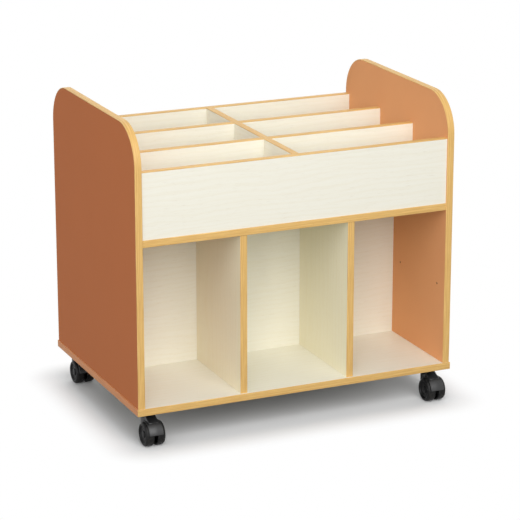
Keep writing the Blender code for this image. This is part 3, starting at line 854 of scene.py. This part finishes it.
@dataclass
class Case:
    """The boards of the case, with fine edge strips and end panels."""

    strip_rounding: float = 0.0012
    strip_inner_rounding: float = 0.0001
    strip_arc_steps: int = 6
    end_corner: float = 0.100
    end_corner_steps: int = 32
    peg_hole_radius: float = 0.0025
    peg_hole_depth: float = 0.010
    peg_hole_rise: float = 0.202
    peg_hole_setback: float = 0.041
    peg_hole_sides: int = 32
    # painted shade: these strips get the darker, browner copy of the oak strip
    shaded_strips: tuple[str, ...] = ("base_lipping_left", "base_lipping_right")

    def boards(self) -> list[Board]:
        """List the maple-faced boards.

        Returns:
            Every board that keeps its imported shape.
        """
        base_strips = tuple(f"base_lipping_{edge.value}" for edge in (*Row, *Side))
        boards = [
            Board("base_panel", Axis.X, base_strips),
            Board("middle_shelf", Axis.X, ("shelf_lipping_front", "shelf_lipping_back")),
            Board("centre_partition", Axis.X),
            Board("tray_front", Axis.X, ("tray_front_lipping",)),
            Board("tray_back", Axis.X, ("tray_back_lipping",)),
            Board("cross_divider", Axis.Y, ("cross_divider_lipping",)),
        ]
        for name in ("row_divider_1", "row_divider_2"):
            boards.append(Board(name, Axis.X, (f"{name}_lipping_left", f"{name}_lipping_right")))
        for row in Row:
            for side in Side:
                place = f"{row.value}_{side.value}"
                boards.append(Board(f"bay_divider_{place}", Axis.Z, (f"bay_divider_lipping_{place}",)))
        return boards

    def build(self) -> None:
        """Dress the boards, and make the strips and the end panels."""
        facings = [MapleFacing("maple_x", Axis.X), MapleFacing("maple_y", Axis.Y)]
        # painted shade: the bay dividers get a yellower copy of the maple decor, standing in for the
        # yellowed light between the boards in the bays
        facings.append(ShadedDividerFacing("maple_z", Axis.Z))
        maple = {facing.grain: facing.build() for facing in facings}
        low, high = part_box("right_end_panel")
        end_facing = TerracottaFacing("terracotta", low.x, high.x)
        terracotta = Fitting("case", "terracotta_board", end_facing.build())
        strip = Fitting("case", "oak_lipping", OakStrip("oak_strip").build())
        # painted shade: a darker, browner copy of the oak strip, for the base's short edges
        shaded_strip = Fitting("case", "oak_lipping", ShadedOakStrip("warm_oak_strip").build())
        boards = self.boards()
        for board in boards:
            node = frame["nodes"][board.node]
            node.data.materials.clear()
            node.data.materials.append(maple[board.grain])
            log.info("%s is faced with maple along %s", board.node, board.grain.name)
            for name in board.strips:
                fitting = shaded_strip if name in self.shaded_strips else strip
                fitting.fit(self.straight_strip(board.node, name), name)
        neighbours = [frame["nodes"][board.node] for board in boards]
        for side in Side:
            strip.fit(self.end_strip(side), f"{side.value}_end_lipping")
            terracotta.fit(self.end_panel(side, neighbours), f"{side.value}_end_panel")

    def section(self, width: float, thickness: float) -> list[Vector]:
        """Draw an edge strip's section, rounded on its outer edges.

        Args:
            width: Its width across the board's edge.
            thickness: Its reach out from the board.

        Returns:
            The closed section.
        """
        half, outer, inner = width / 2, self.strip_rounding, self.strip_inner_rounding
        corners = [
            Corner(-half, 0, inner),
            Corner(half, 0, inner),
            Corner(half, thickness, outer),
            Corner(-half, thickness, outer),
        ]
        return rounded(corners, self.strip_arc_steps)

    def straight_strip(self, board: str, node: str) -> bpy.types.Object:
        """Make the strip on one straight edge.

        Args:
            board: The node of the board that it edges.
            node: The strip's own node, which gives its place and size.

        Returns:
            The strip.
        """
        low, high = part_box(node)
        centre, size = middle(node), high - low
        outward, across, along = sorted(range(3), key=lambda axis: size[axis])
        sign = 1 if centre[outward] > middle(board)[outward] else -1
        way = Vector(Axis(outward).stretch(sign, 0))
        foot = centre - way * size[outward] / 2
        half = Vector(Axis(along).stretch(size[along] / 2, 0))
        stations = [(foot - half, way), (foot + half, way)]
        section = self.section(size[across], size[outward])
        name = node.replace("lipping", "edge_strip")
        return add_object(name, swept(name, section, stations, Vector(Axis(across).stretch(1, 0))))

    def end_outline(self, side: Side, inset: float) -> list[tuple[Vector, Vector]]:
        """Follow an end panel's edge up the front, over both round corners and down the back.

        Args:
            side: Which end it is.
            inset: How far inside the strip's outer face the line runs.

        Returns:
            Places in the panel's YZ plane, as XY, each with its way out.
        """
        low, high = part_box(f"{side.value}_end_lipping")
        radius = self.end_corner - inset
        head = high.z - self.end_corner
        front, back = low.y + self.end_corner, high.y - self.end_corner
        line = [(Vector((low.y + inset, low.z)), Vector((-1, 0)))]
        for centre, start in ((front, math.pi), (back, math.pi / 2)):
            for step in range(self.end_corner_steps + 1):
                turn = start - step / self.end_corner_steps * math.pi / 2
                out = Vector((math.cos(turn), math.sin(turn)))
                line.append((Vector((centre, head)) + out * radius, out))
        line.append((Vector((high.y - inset, low.z)), Vector((1, 0))))
        return line

    def end_strip(self, side: Side) -> bpy.types.Object:
        """Make the one strip that runs over an end panel.

        Args:
            side: Which end it is.

        Returns:
            The strip.
        """
        low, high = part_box(f"{side.value}_end_lipping")
        thickness = high.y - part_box(f"{side.value}_end_panel")[1].y - GLUE_LINE
        depth = (low.x + high.x) / 2
        outline = self.end_outline(side, thickness)
        stations = [(Vector((depth, *place)), Vector((0, *out))) for place, out in outline]
        name = f"{side.value}_end_edge_strip"
        mesh = swept(name, self.section(high.x - low.x, thickness), stations, Vector((1, 0, 0)))
        return add_object(name, mesh)

    def end_panel(self, side: Side, neighbours: Sequence[bpy.types.Object]) -> bpy.types.Object:
        """Make a round-topped end panel, cut for the boards that join it and bored for shelf pegs.

        Args:
            side: Which end it is.
            neighbours: The boards whose dowels and tongues enter it.

        Returns:
            The panel.
        """
        low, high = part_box(f"{side.value}_end_panel")
        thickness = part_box(f"{side.value}_end_lipping")[1].y - high.y
        outline = [place for place, _ in self.end_outline(side, thickness)]
        name = f"{side.value}_end_facing"
        mesh = slab(name, outline, low.x, high.x)
        mesh.transform(SIDE_ON)
        panel = add_object(name, mesh)
        pegs = self.peg_cutters(side, low, high)
        combine(panel, [*neighbours, *pegs], Joining.CUT)
        discard(pegs)
        return panel

    def peg_cutters(self, side: Side, low: Vector, high: Vector) -> list[bpy.types.Object]:
        """Make the cutters for a pair of shelf-peg holes in one bay.

        Args:
            side: The end that is bored; the right end has its holes in the front bay, the left in the back.
            low: The panel's lowest corner.
            high: The panel's highest corner.

        Returns:
            Two rods that reach into the panel's inner face.
        """
        face = high.x if side is Side.LEFT else low.x
        reach, setback = self.peg_hole_depth, self.peg_hole_setback
        partition_low, partition_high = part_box("centre_partition")
        strip_low, strip_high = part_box(f"{side.value}_end_lipping")
        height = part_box("base_panel")[1].z + self.peg_hole_rise
        if side is Side.RIGHT:
            places = (strip_low.y + setback, partition_low.y - setback)
        else:
            places = (strip_high.y - setback, partition_high.y + setback)
        rods = []
        for along in places:
            mesh = round_bar("peg_hole", self.peg_hole_radius, -reach, reach, self.peg_hole_sides)
            mesh.transform(LAID)
            rods.append(add_object("peg_hole", mesh, (face, along, height)))
        return rods


@dataclass
class CastorPiece:
    """A piece of a twin-wheel castor, made about the swivel axis at floor level.

    Attributes:
        sample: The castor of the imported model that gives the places.
        clearance: The gap between pieces that turn on each other.
        collar_step: How far the kingpin's collar stands out from its pin.
        spigot_step: How much thinner than its pin the kingpin's spigot is.
        plate_thickness: How thick the fixing plate is.
        round_sides: Steps round the hood and the wheels.
        pin_sides: Steps round pins, screws and the axle's boss.
    """

    sample: str = "castor_front_left"
    clearance: float = 0.0006
    collar_step: float = 0.002
    spigot_step: float = 0.001
    plate_thickness: float = 0.0025
    round_sides: int = 64
    pin_sides: int = 32

    def __post_init__(self) -> None:
        """Read the castor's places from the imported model."""
        swivel = middle(f"{self.sample}_kingpin")
        pin_low, pin_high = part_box(f"{self.sample}_kingpin")
        self.pin_low, self.pin_high = pin_low.z, pin_high.z
        self.pin_collar = (pin_high - pin_low).x / 2
        self.pin_radius = self.pin_collar - self.collar_step
        self.spigot_radius = self.pin_radius - self.spigot_step
        axle_low, axle_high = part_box(f"{self.sample}_axle")
        self.axle = middle(f"{self.sample}_axle") - swivel
        self.axle.z += swivel.z
        self.axle_half = (axle_high - axle_low).x / 2
        self.axle_radius = (axle_high - axle_low).z / 2
        hood_low, hood_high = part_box(f"{self.sample}_hood")
        self.hood_half = (hood_high - hood_low).x / 2
        self.neck_top = hood_high.z
        wheel_low, wheel_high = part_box(f"{self.sample}_wheel_right")
        self.wheel_radius = (wheel_high - wheel_low).z / 2
        self.wheel_inner = wheel_low.x - swivel.x
        self.wheel_outer = wheel_high.x - swivel.x
        plate_low, plate_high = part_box(f"{self.sample}_plate")
        self.plate_width = (plate_high - plate_low).x
        self.screw_tip = plate_high.z
        self.plate_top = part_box("base_panel")[0].z - GLUE_LINE
        self.plate_under = self.plate_top - self.plate_thickness

    def build(self) -> bpy.types.Mesh:
        """Make the piece; each piece has its own way."""
        raise NotImplementedError(type(self).__name__)


@dataclass
class Hood(CastorPiece):
    """The hood: a crowned band between flanges, a neck, and the web that holds the axle."""

    well_radius: float = 0.0308
    well_rounding: float = 0.0004
    flange_radius: float = 0.0324
    flange_rounding: float = 0.0006
    band_radius: float = 0.0338
    band_half: float = 0.0134
    band_fall: float = 0.0012
    band_step: float = 0.0008
    band_rounding: float = 0.0010
    band_crown: float = 0.06
    lip_angle: float = math.radians(8)
    back_angle: float = math.radians(158)
    arc_steps: int = 56
    web_half: float = 0.004
    boss_radius: float = 0.010
    neck_radius: float = 0.0135
    neck_length: float = 0.009
    neck_foot: float = 0.016
    neck_rounding: float = 0.0012
    flare_height: float = 0.004
    flare_rounding: float = 0.006
    seat_depth: float = 0.0030
    seat_rounding: float = 0.0003
    band_head_reach: float = 0.0085
    band_head_drop: float = 0.003
    band_head_rounding: float = 0.0025
    band_head_steps: int = 4
    voxel: float = 0.0006
    softness: float = 0.5
    smoothing: int = 6

    def build(self) -> bpy.types.Mesh:
        """Mould shell, web and neck as one skin.

        Returns:
            A closed mesh with softened edges.
        """
        parts = [add_object("hood_shell", self.shell()), *self.webs(), self.neck()]
        hood = parts[0]
        joined = bmesh.new()
        for part in parts:
            joined.from_mesh(part.data)
        hood.data = mesh_from(joined, "castor_hood")
        remesh = hood.modifiers.new("skin", "REMESH")
        remesh.mode = "VOXEL"
        remesh.voxel_size = self.voxel
        soften = hood.modifiers.new("soften", "SMOOTH")
        soften.factor = self.softness
        soften.iterations = self.smoothing
        settle(hood)
        skin = hood.data
        skin.shade_smooth()  # a skin this soft has no sharp edges
        discard(parts)
        return skin

    def shell(self) -> bpy.types.Mesh:
        """Sweep the hood's section over the wheels, from the front lip to the back.

        Returns:
            A closed mesh.
        """
        right = [
            Corner(self.band_half, self.band_radius - self.band_fall, self.band_rounding),
            Corner(self.band_half + self.band_step, self.flange_radius, self.band_step),
            Corner(self.hood_half, self.flange_radius, self.flange_rounding),
            Corner(self.hood_half, self.well_radius, self.well_rounding),
        ]
        left = [corner.mirrored() for corner in reversed(right)]
        section = rounded([*left, Corner(0, self.band_radius, self.band_crown), *right])
        form = bmesh.new()
        up = Vector((0, -math.cos(self.lip_angle), math.sin(self.lip_angle)))
        points = [form.verts.new(self.axle + up * point.y + Vector((point.x, 0, 0))) for point in section]
        face = form.faces.new(points)
        sweep = self.back_angle - self.lip_angle
        around = {"cent": self.axle, "axis": (-1, 0, 0), "angle": sweep, "steps": self.arc_steps}
        bmesh.ops.spin(form, geom=[*points, *face.edges, face], **around)
        return mesh_from(form, "hood_shell")

    def spot(self, radius: float, angle: float) -> Vector:
        """Give a place about the axle in the YZ plane, by its angle up from the front."""
        return Vector((self.axle.y - radius * math.cos(angle), self.axle.z + radius * math.sin(angle)))

    def webs(self) -> list[bpy.types.Object]:
        """Make the wall between the wheels and the boss round the axle, bored for it.

        Returns:
            The wall and the boss.
        """
        inner = (self.well_radius + self.flange_radius) / 2
        sweep = self.back_angle - self.lip_angle
        steps = range(self.arc_steps + 1)
        wall = [self.spot(inner, self.lip_angle + sweep * step / self.arc_steps) for step in steps]
        turns = range(self.pin_sides + 1)
        boss = [self.spot(self.boss_radius, -math.pi * turn / self.pin_sides) for turn in turns]
        rise = self.axle.z + self.well_radius - 2 * self.clearance
        boss += [Vector((self.axle.y + reach, rise)) for reach in (self.boss_radius, -self.boss_radius)]
        made = []
        for name, outline in (("web", wall), ("boss", boss)):
            mesh = slab(name, outline, -self.web_half, self.web_half)
            mesh.transform(SIDE_ON)
            made.append(add_object(name, mesh))
        reach = 2 * self.web_half
        bore = self.rod("axle_bore", self.axle_radius + self.clearance, -reach, reach)
        for part in made:
            combine(part, [bore], Joining.CUT)
        discard([bore])
        return made

    def rod(self, name: str, radius: float, low: float, high: float) -> bpy.types.Object:
        """Make a rod along the axle.

        Args:
            name: The rod's name.
            radius: Its radius.
            low: Where it starts along X.
            high: Where it ends along X.

        Returns:
            The rod.
        """
        mesh = round_bar(name, radius, low, high, self.round_sides)
        mesh.transform(LAID)
        return add_object(name, mesh, self.axle)

    def neck(self) -> bpy.types.Object:
        """Turn the neck with its socket for the kingpin, and cut it clear of the wheels.

        Returns:
            The neck.
        """
        foot = self.axle.z + self.neck_foot
        shoulder = self.neck_top - self.neck_length
        seat = self.pin_collar + self.clearance
        socket = self.pin_radius + self.clearance
        seat_floor = self.pin_high - self.seat_depth - self.clearance
        socket_floor = self.pin_low - self.clearance
        profile = [
            Corner(0, foot),
            Corner(self.hood_half, foot, self.neck_rounding),
            Corner(self.hood_half, shoulder - self.flare_height, self.flare_rounding),
            Corner(self.neck_radius, shoulder, self.flare_rounding),
            Corner(self.neck_radius, self.neck_top, self.neck_rounding),
            Corner(seat, self.neck_top, self.seat_rounding),
            Corner(seat, seat_floor),
            Corner(socket, seat_floor),
            Corner(socket, socket_floor),
            Corner(0, socket_floor),
        ]
        neck = add_object("neck", turned("neck", rounded(profile), self.round_sides))
        head = self.band_head(seat)
        combine(neck, [head], Joining.JOIN)
        wells = []
        for turn in (math.pi, 0):
            well = self.rod("well", self.well_radius, self.web_half, 2 * self.hood_half)
            well.rotation_euler.z = turn
            wells.append(well)
        combine(neck, wells, Joining.CUT)
        discard([head, *wells])
        return neck

    def band_head(self, seat: float) -> bpy.types.Object:
        """Make the band's straight run up to the neck's head, with rounded edges.

        Args:
            seat: Radius of the kingpin's seat, which the run stays clear of.

        Returns:
            The run.
        """
        head = Vector((-self.band_head_reach, self.neck_top - self.band_head_drop))
        axle = self.axle.yz
        rise = head - axle
        turn = math.atan2(rise.y, rise.x) + math.acos(self.band_radius / rise.length)
        foot = axle + self.band_radius * Vector((math.cos(turn), math.sin(turn)))
        crest = axle.y + self.well_radius
        outline = [head, foot, Vector((axle.x, crest)), Vector((-seat, crest))]
        mesh = slab("band_head", outline, -self.band_half, self.band_half)
        mesh.transform(SIDE_ON)
        run = add_object("band_head", mesh)
        bevel = run.modifiers.new("rounding", "BEVEL")
        bevel.width = self.band_head_rounding
        bevel.segments = self.band_head_steps
        settle(run)
        return run


@dataclass
class Wheel(CastorPiece):
    """A wheel: crowned tread, ringed dish, domed hub cap, hollow inner side and blind bore.

    Attributes:
        face: The outer face from its middle to its rim, with heights from the rim.
    """

    face: tuple[Corner, ...] = (
        Corner(0, -0.0009),
        Corner(0.0040, -0.0010, 0.008),  # the hub cap
        Corner(0.0090, -0.0018, 0.0007),
        Corner(0.0092, -0.0042, 0.0004),  # the dish, with a raised ring
        Corner(0.0130, -0.0042, 0.0003),
        Corner(0.0136, -0.0034, 0.0003),
        Corner(0.0150, -0.0034, 0.0003),
        Corner(0.0156, -0.0042, 0.0003),
        Corner(0.0208, -0.0042, 0.0008),
        Corner(0.0227, -0.0006, 0.0006),  # the step up to the rim
        Corner(0.0236, -0.0006, 0.0003),
        Corner(0.0239, 0, 0.0003),
    )
    tread_fall: float = 0.0002
    tread_crown: float = 0.2
    outer_shoulder: float = 0.0052
    inner_shoulder: float = 0.0008
    rim_wall: float = 0.0042
    rim_draft: float = 0.0004
    disc_depth: float = 0.0100
    disc_rounding: float = 0.0010
    hub_radius: float = 0.0095
    hub_draft: float = 0.0002
    hub_root: float = 0.0008
    lip_rounding: float = 0.0004
    bore_rounding: float = 0.0002
    arc_steps: int = 4

    def build(self) -> bpy.types.Mesh:
        """Turn the wheel about X.

        Returns:
            A closed mesh about the axle's middle, with its outer face towards +X.
        """
        radius, outer, inner = self.wheel_radius, self.wheel_outer, self.wheel_inner
        bore = self.axle_radius + self.clearance / 2
        bore_end = self.axle_half + self.clearance / 2
        disc = outer - self.disc_depth
        tread = radius - self.tread_fall
        rim = radius - self.rim_wall
        profile = [
            *(corner.raised(outer) for corner in self.face),
            Corner(tread, outer, self.outer_shoulder),
            Corner(radius, (outer + inner) / 2, self.tread_crown),
            Corner(tread, inner, self.inner_shoulder),
            Corner(rim, inner, self.lip_rounding),
            Corner(rim - self.rim_draft, disc, self.disc_rounding),
            Corner(self.hub_radius + self.hub_draft, disc, self.hub_root),
            Corner(self.hub_radius, inner, self.lip_rounding),
            Corner(bore, inner, self.bore_rounding),
            Corner(bore, bore_end),
            Corner(0, bore_end),
        ]
        mesh = turned("castor_wheel", rounded(profile, self.arc_steps), self.round_sides)
        mesh.transform(LAID)
        return mesh


@dataclass
class AxlePin(CastorPiece):
    """The pin that both wheels turn on."""

    rounding: float = 0.0006

    def build(self) -> bpy.types.Mesh:
        """Turn the axle pin about X.

        Returns:
            A closed mesh about the axle's middle.
        """
        radius, half = self.axle_radius, self.axle_half
        profile = [
            Corner(0, half),
            Corner(radius, half, self.rounding),
            Corner(radius, -half, self.rounding),
            Corner(0, -half),
        ]
        mesh = turned("castor_axle", rounded(profile), self.pin_sides)
        mesh.transform(LAID)
        return mesh


@dataclass
class Kingpin(CastorPiece):
    """The swivel pin: a spigot in the plate, a collar under it, and a pin with a snap groove."""

    rounding: float = 0.0003
    foot_rounding: float = 0.0008
    collar_thickness: float = 0.002
    groove_rise: float = 0.004
    groove_width: float = 0.002
    groove_depth: float = 0.0008
    groove_rounding: float = 0.0002
    arc_steps: int = 3

    def build(self) -> bpy.types.Mesh:
        """Turn the kingpin.

        Returns:
            A closed mesh on the swivel axis.
        """
        under = self.plate_under - GLUE_LINE
        collar_foot = under - self.collar_thickness
        groove_top = self.pin_low + self.groove_rise
        groove_foot = groove_top - self.groove_width
        groove = self.pin_radius - self.groove_depth
        profile = [
            Corner(0, self.pin_high),
            Corner(self.spigot_radius, self.pin_high, self.rounding),
            Corner(self.spigot_radius, under),
            Corner(self.pin_collar, under, self.rounding),
            Corner(self.pin_collar, collar_foot, self.rounding),
            Corner(self.pin_radius, collar_foot, self.rounding),
            Corner(self.pin_radius, groove_top, self.groove_rounding),
            Corner(groove, groove_top, self.groove_rounding),
            Corner(groove, groove_foot, self.groove_rounding),
            Corner(self.pin_radius, groove_foot, self.groove_rounding),
            Corner(self.pin_radius, self.pin_low, self.foot_rounding),
            Corner(0, self.pin_low),
        ]
        return turned("castor_kingpin", rounded(profile, self.arc_steps), self.pin_sides)


@dataclass
class Plate(CastorPiece):
    """The fixing plate with its four screws."""

    corner: float = 0.007
    corner_steps: int = 10
    easing: float = 0.0002
    easing_angle: float = math.radians(60)
    cutter_reach: float = 0.001
    screw_setback: float = 0.008
    head_radius: float = 0.004
    head_height: float = 0.0022
    head_edge: float = 0.0004
    dome_share: float = 0.55
    dome_rounding: float = 0.004
    shank_radius: float = 0.002
    recess_width: float = 0.0011
    recess_length: float = 0.0046
    recess_depth: float = 0.0012

    def build(self) -> bpy.types.Mesh:
        """Press the fixing plate and drive its four screws.

        Returns:
            A closed mesh of plate and screws.
        """
        width, top, under = self.plate_width, self.plate_top, self.plate_under
        outline = rounded(oblong(width, width, self.corner), self.corner_steps)
        plate = add_object("castor_plate", slab("castor_plate", outline, under, top))
        bore, reach = self.spigot_radius + self.clearance, self.cutter_reach
        cutter = round_bar("spigot_hole", bore, under - reach, top + reach, self.pin_sides)
        hole = add_object("spigot_hole", cutter)
        combine(plate, [hole], Joining.CUT)
        away = width / 2 - self.screw_setback
        screws = [self.screw(x * away, y * away) for x in (-1, 1) for y in (-1, 1)]
        combine(plate, screws, Joining.JOIN)
        bevel = plate.modifiers.new("eased_edges", "BEVEL")
        bevel.width = self.easing
        bevel.limit_method = "ANGLE"
        bevel.angle_limit = self.easing_angle
        settle(plate)
        mesh = plate.data
        discard([plate, hole, *screws])
        return mesh

    def screw(self, x: float, y: float) -> bpy.types.Object:
        """Make a pan-head screw with a cross recess, which bears on the plate from below.

        Args:
            x: Its place from the swivel axis.
            y: Its place from the swivel axis.

        Returns:
            The screw.
        """
        head, shank, under = self.head_radius, self.shank_radius, self.plate_under
        drop = under - self.head_height
        sunk = under + self.plate_thickness / 2
        profile = [
            Corner(0, drop),
            Corner(head * self.dome_share, drop, self.dome_rounding),
            Corner(head, under - self.head_edge, self.head_edge),
            Corner(head, sunk),
            Corner(shank, sunk),
            Corner(shank, self.screw_tip - shank),
            Corner(0, self.screw_tip),
        ]
        screw = add_object("screw", turned("screw", rounded(profile), self.pin_sides), (x, y, 0))
        slots = []
        long, short = self.recess_length, self.recess_width
        for width, depth in ((long, short), (short, long)):
            outline = rounded(oblong(width, depth))
            mesh = slab("recess", outline, drop - self.cutter_reach, drop + self.recess_depth)
            slots.append(add_object("recess", mesh, (x, y, 0)))
        combine(screw, slots, Joining.CUT)
        discard(slots)
        return screw


@dataclass(frozen=True)
class CastorKit:
    """The meshes and materials that all castors share."""

    plate: bpy.types.Mesh
    kingpin: bpy.types.Mesh
    hood: bpy.types.Mesh
    axle: bpy.types.Mesh
    wheel: bpy.types.Mesh
    nylon: bpy.types.Material
    tread: bpy.types.Material
    zinc: bpy.types.Material


@dataclass
class Castor:
    """One castor of the four, with its place and bodies."""

    row: Row
    side: Side
    kit: CastorKit

    def build(self) -> None:
        """Hang plate and kingpin on the case, hood and axle on the fork, and both wheels on the axle."""
        kit, place = self.kit, f"{self.row.value}_{self.side.value}"
        name = f"castor_{place}"
        swivel = middle(f"{name}_kingpin").xy.to_3d()
        axle = middle(f"{name}_axle")
        zinc_on_case = Fitting("case", "zinc_steel", kit.zinc)
        zinc_on_fork = Fitting(f"{place}_fork", "zinc_steel", kit.zinc)
        nylon_on_fork = Fitting(f"{place}_fork", "black_nylon", kit.nylon)
        pieces = (
            ("fixing_plate", kit.plate, swivel, zinc_on_case, "plate"),
            ("swivel_pin", kit.kingpin, swivel, zinc_on_case, "kingpin"),
            ("hood_shell", kit.hood, swivel, nylon_on_fork, "hood"),
            ("axle_pin", kit.axle, axle, zinc_on_fork, "axle"),
        )
        for piece, mesh, origin, fitting, node in pieces:
            fitting.fit(add_object(f"{name}_{piece}", mesh.copy(), origin), f"{name}_{node}")
        for side in Side:
            hand = side.value
            wheel = add_object(f"{name}_{hand}_roller", kit.wheel.copy(), axle)
            if side is Side.LEFT:
                wheel.data.transform(Matrix.Rotation(math.pi, 4, "Z"))
            Fitting(f"{place}_wheel_{hand}", "black_nylon", kit.tread).fit(wheel, f"{name}_wheel_{hand}")


@dataclass(frozen=True)
class Lamp:
    """A far, soft lamp.

    Attributes:
        name: Its name.
        level: How bright a white surface square to it looks, where 1 is white.
        width: How wide it looks from the trolley, in degrees.
        azimuth: Its direction in plan from the front, positive to the right, in degrees.
        elevation: Its height above the horizon, in degrees.
        gleams: Whether glossy surfaces reflect it.
    """

    name: str
    level: float
    width: float
    azimuth: float
    elevation: float
    gleams: bool = True

    def build(self) -> None:
        """Hang the lamp."""
        light = bpy.data.lights.new(self.name, "SUN")
        light.energy = self.level * math.pi
        light.angle = math.radians(self.width)
        obj = add_object(self.name, light)
        obj.rotation_euler = (math.radians(90 - self.elevation), 0, math.radians(self.azimuth))
        obj.visible_glossy = self.gleams


@dataclass(frozen=True)
class Softbox:
    """A near lamp with a square face.

    Attributes:
        name: Its name.
        level: How bright a white surface at the aim and square to it looks, where 1 is white.
        size: The length of its sides.
        place: Its middle.
        aim: The place that it faces.
        gleams: Whether glossy surfaces reflect it.
    """

    name: str
    level: float
    size: float
    place: tuple[float, float, float]
    aim: tuple[float, float, float] = (0.0, 0.0, 0.4)
    gleams: bool = True

    def build(self) -> None:
        """Hang the lamp."""
        way = Vector(self.aim) - Vector(self.place)
        light = bpy.data.lights.new(self.name, "AREA")
        light.size = self.size
        light.energy = self.level * math.pi**2 * way.length_squared
        obj = add_object(self.name, light, self.place)
        obj.rotation_euler = way.to_track_quat("-Z", "Y").to_euler()
        obj.visible_glossy = self.gleams


@dataclass
class Studio:
    """Camera, soft lamps, white surroundings and pale floor."""

    aim: tuple[float, float, float] = (0.0213, 0.0, 0.3461)
    distance: float = 5.986
    azimuth: float = math.radians(-24.20)
    elevation: float = math.radians(16.92)
    lens: float = 161.6
    lamps: tuple[Lamp | Softbox, ...] = (
        Lamp("left_lamp", level=0.39, width=60, azimuth=-62, elevation=8),
        Lamp("right_lamp", level=0.45, width=60, azimuth=112, elevation=4, gleams=False),
        Softbox("front_softbox", level=0.82, size=3.4, place=(-0.60, -3.2, 2.5)),
        Softbox("back_softbox", level=0.42, size=3.4, place=(0.60, 3.2, 2.5), gleams=False),
    )
    ambient: float = 0.28
    floor_size: float = 60.0

    def build(self) -> None:
        """Set the camera, lamps, world and floor."""
        self.set_camera()
        for lamp in self.lamps:
            lamp.build()
        self.set_world()
        self.lay_floor()
        bpy.context.scene.view_settings.view_transform = "Standard"

    def set_camera(self) -> None:
        """Place the camera at the photograph's viewing angle."""
        camera = bpy.data.cameras.new("camera")
        camera.lens = self.lens
        reach = math.cos(self.elevation)
        back = Vector(
            (math.sin(self.azimuth) * reach, -math.cos(self.azimuth) * reach, math.sin(self.elevation))
        )
        obj = add_object("camera", camera, Vector(self.aim) + back * self.distance)
        obj.rotation_euler = (math.pi / 2 - self.elevation, 0, self.azimuth)
        bpy.context.scene.camera = obj

    def set_world(self) -> None:
        """Surround the trolley with dim light that looks white to the eye."""
        world = bpy.data.worlds.new("studio")
        world.use_nodes = True
        graph = Graph(world.node_tree)
        strength = self.ambient + (1 - self.ambient) * graph.seen()
        light = graph.add("ShaderNodeBackground", None, {"Color": (1, 1, 1, 1), "Strength": strength})
        graph.add("ShaderNodeOutputWorld", None, {"Surface": light})
        bpy.context.scene.world = world

    def lay_floor(self) -> None:
        """Lay the floor at the wheels' feet."""
        form = bmesh.new()
        bmesh.ops.create_grid(form, x_segments=1, y_segments=1, size=self.floor_size / 2)
        floor = add_object("floor", mesh_from(form, "floor"))
        floor.data.materials.append(StudioFloor("studio_floor").build())


def clear_leftovers() -> None:
    """Remove what the start-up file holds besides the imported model."""
    kept = {obj.name for obj in (*frame["nodes"].values(), *frame["bodies"].values())}
    discard([obj for obj in bpy.data.objects if obj.name not in kept])


def main() -> None:
    """Set the studio, dress the case and make the castors."""
    logging.basicConfig(level=logging.INFO, format="%(name)s: %(message)s")
    clear_leftovers()
    Studio().build()
    Case().build()
    kit = CastorKit(
        plate=Plate().build(),
        kingpin=Kingpin().build(),
        hood=Hood().build(),
        axle=AxlePin().build(),
        wheel=Wheel().build(),
        nylon=BlackNylon("black_nylon").build(),
        tread=TreadNylon("black_nylon_tread").build(),
        zinc=ZincSteel("zinc_steel").build(),
    )
    for row in Row:
        for side in Side:
            Castor(row, side, kit).build()


if __name__ == "__main__":
    main()
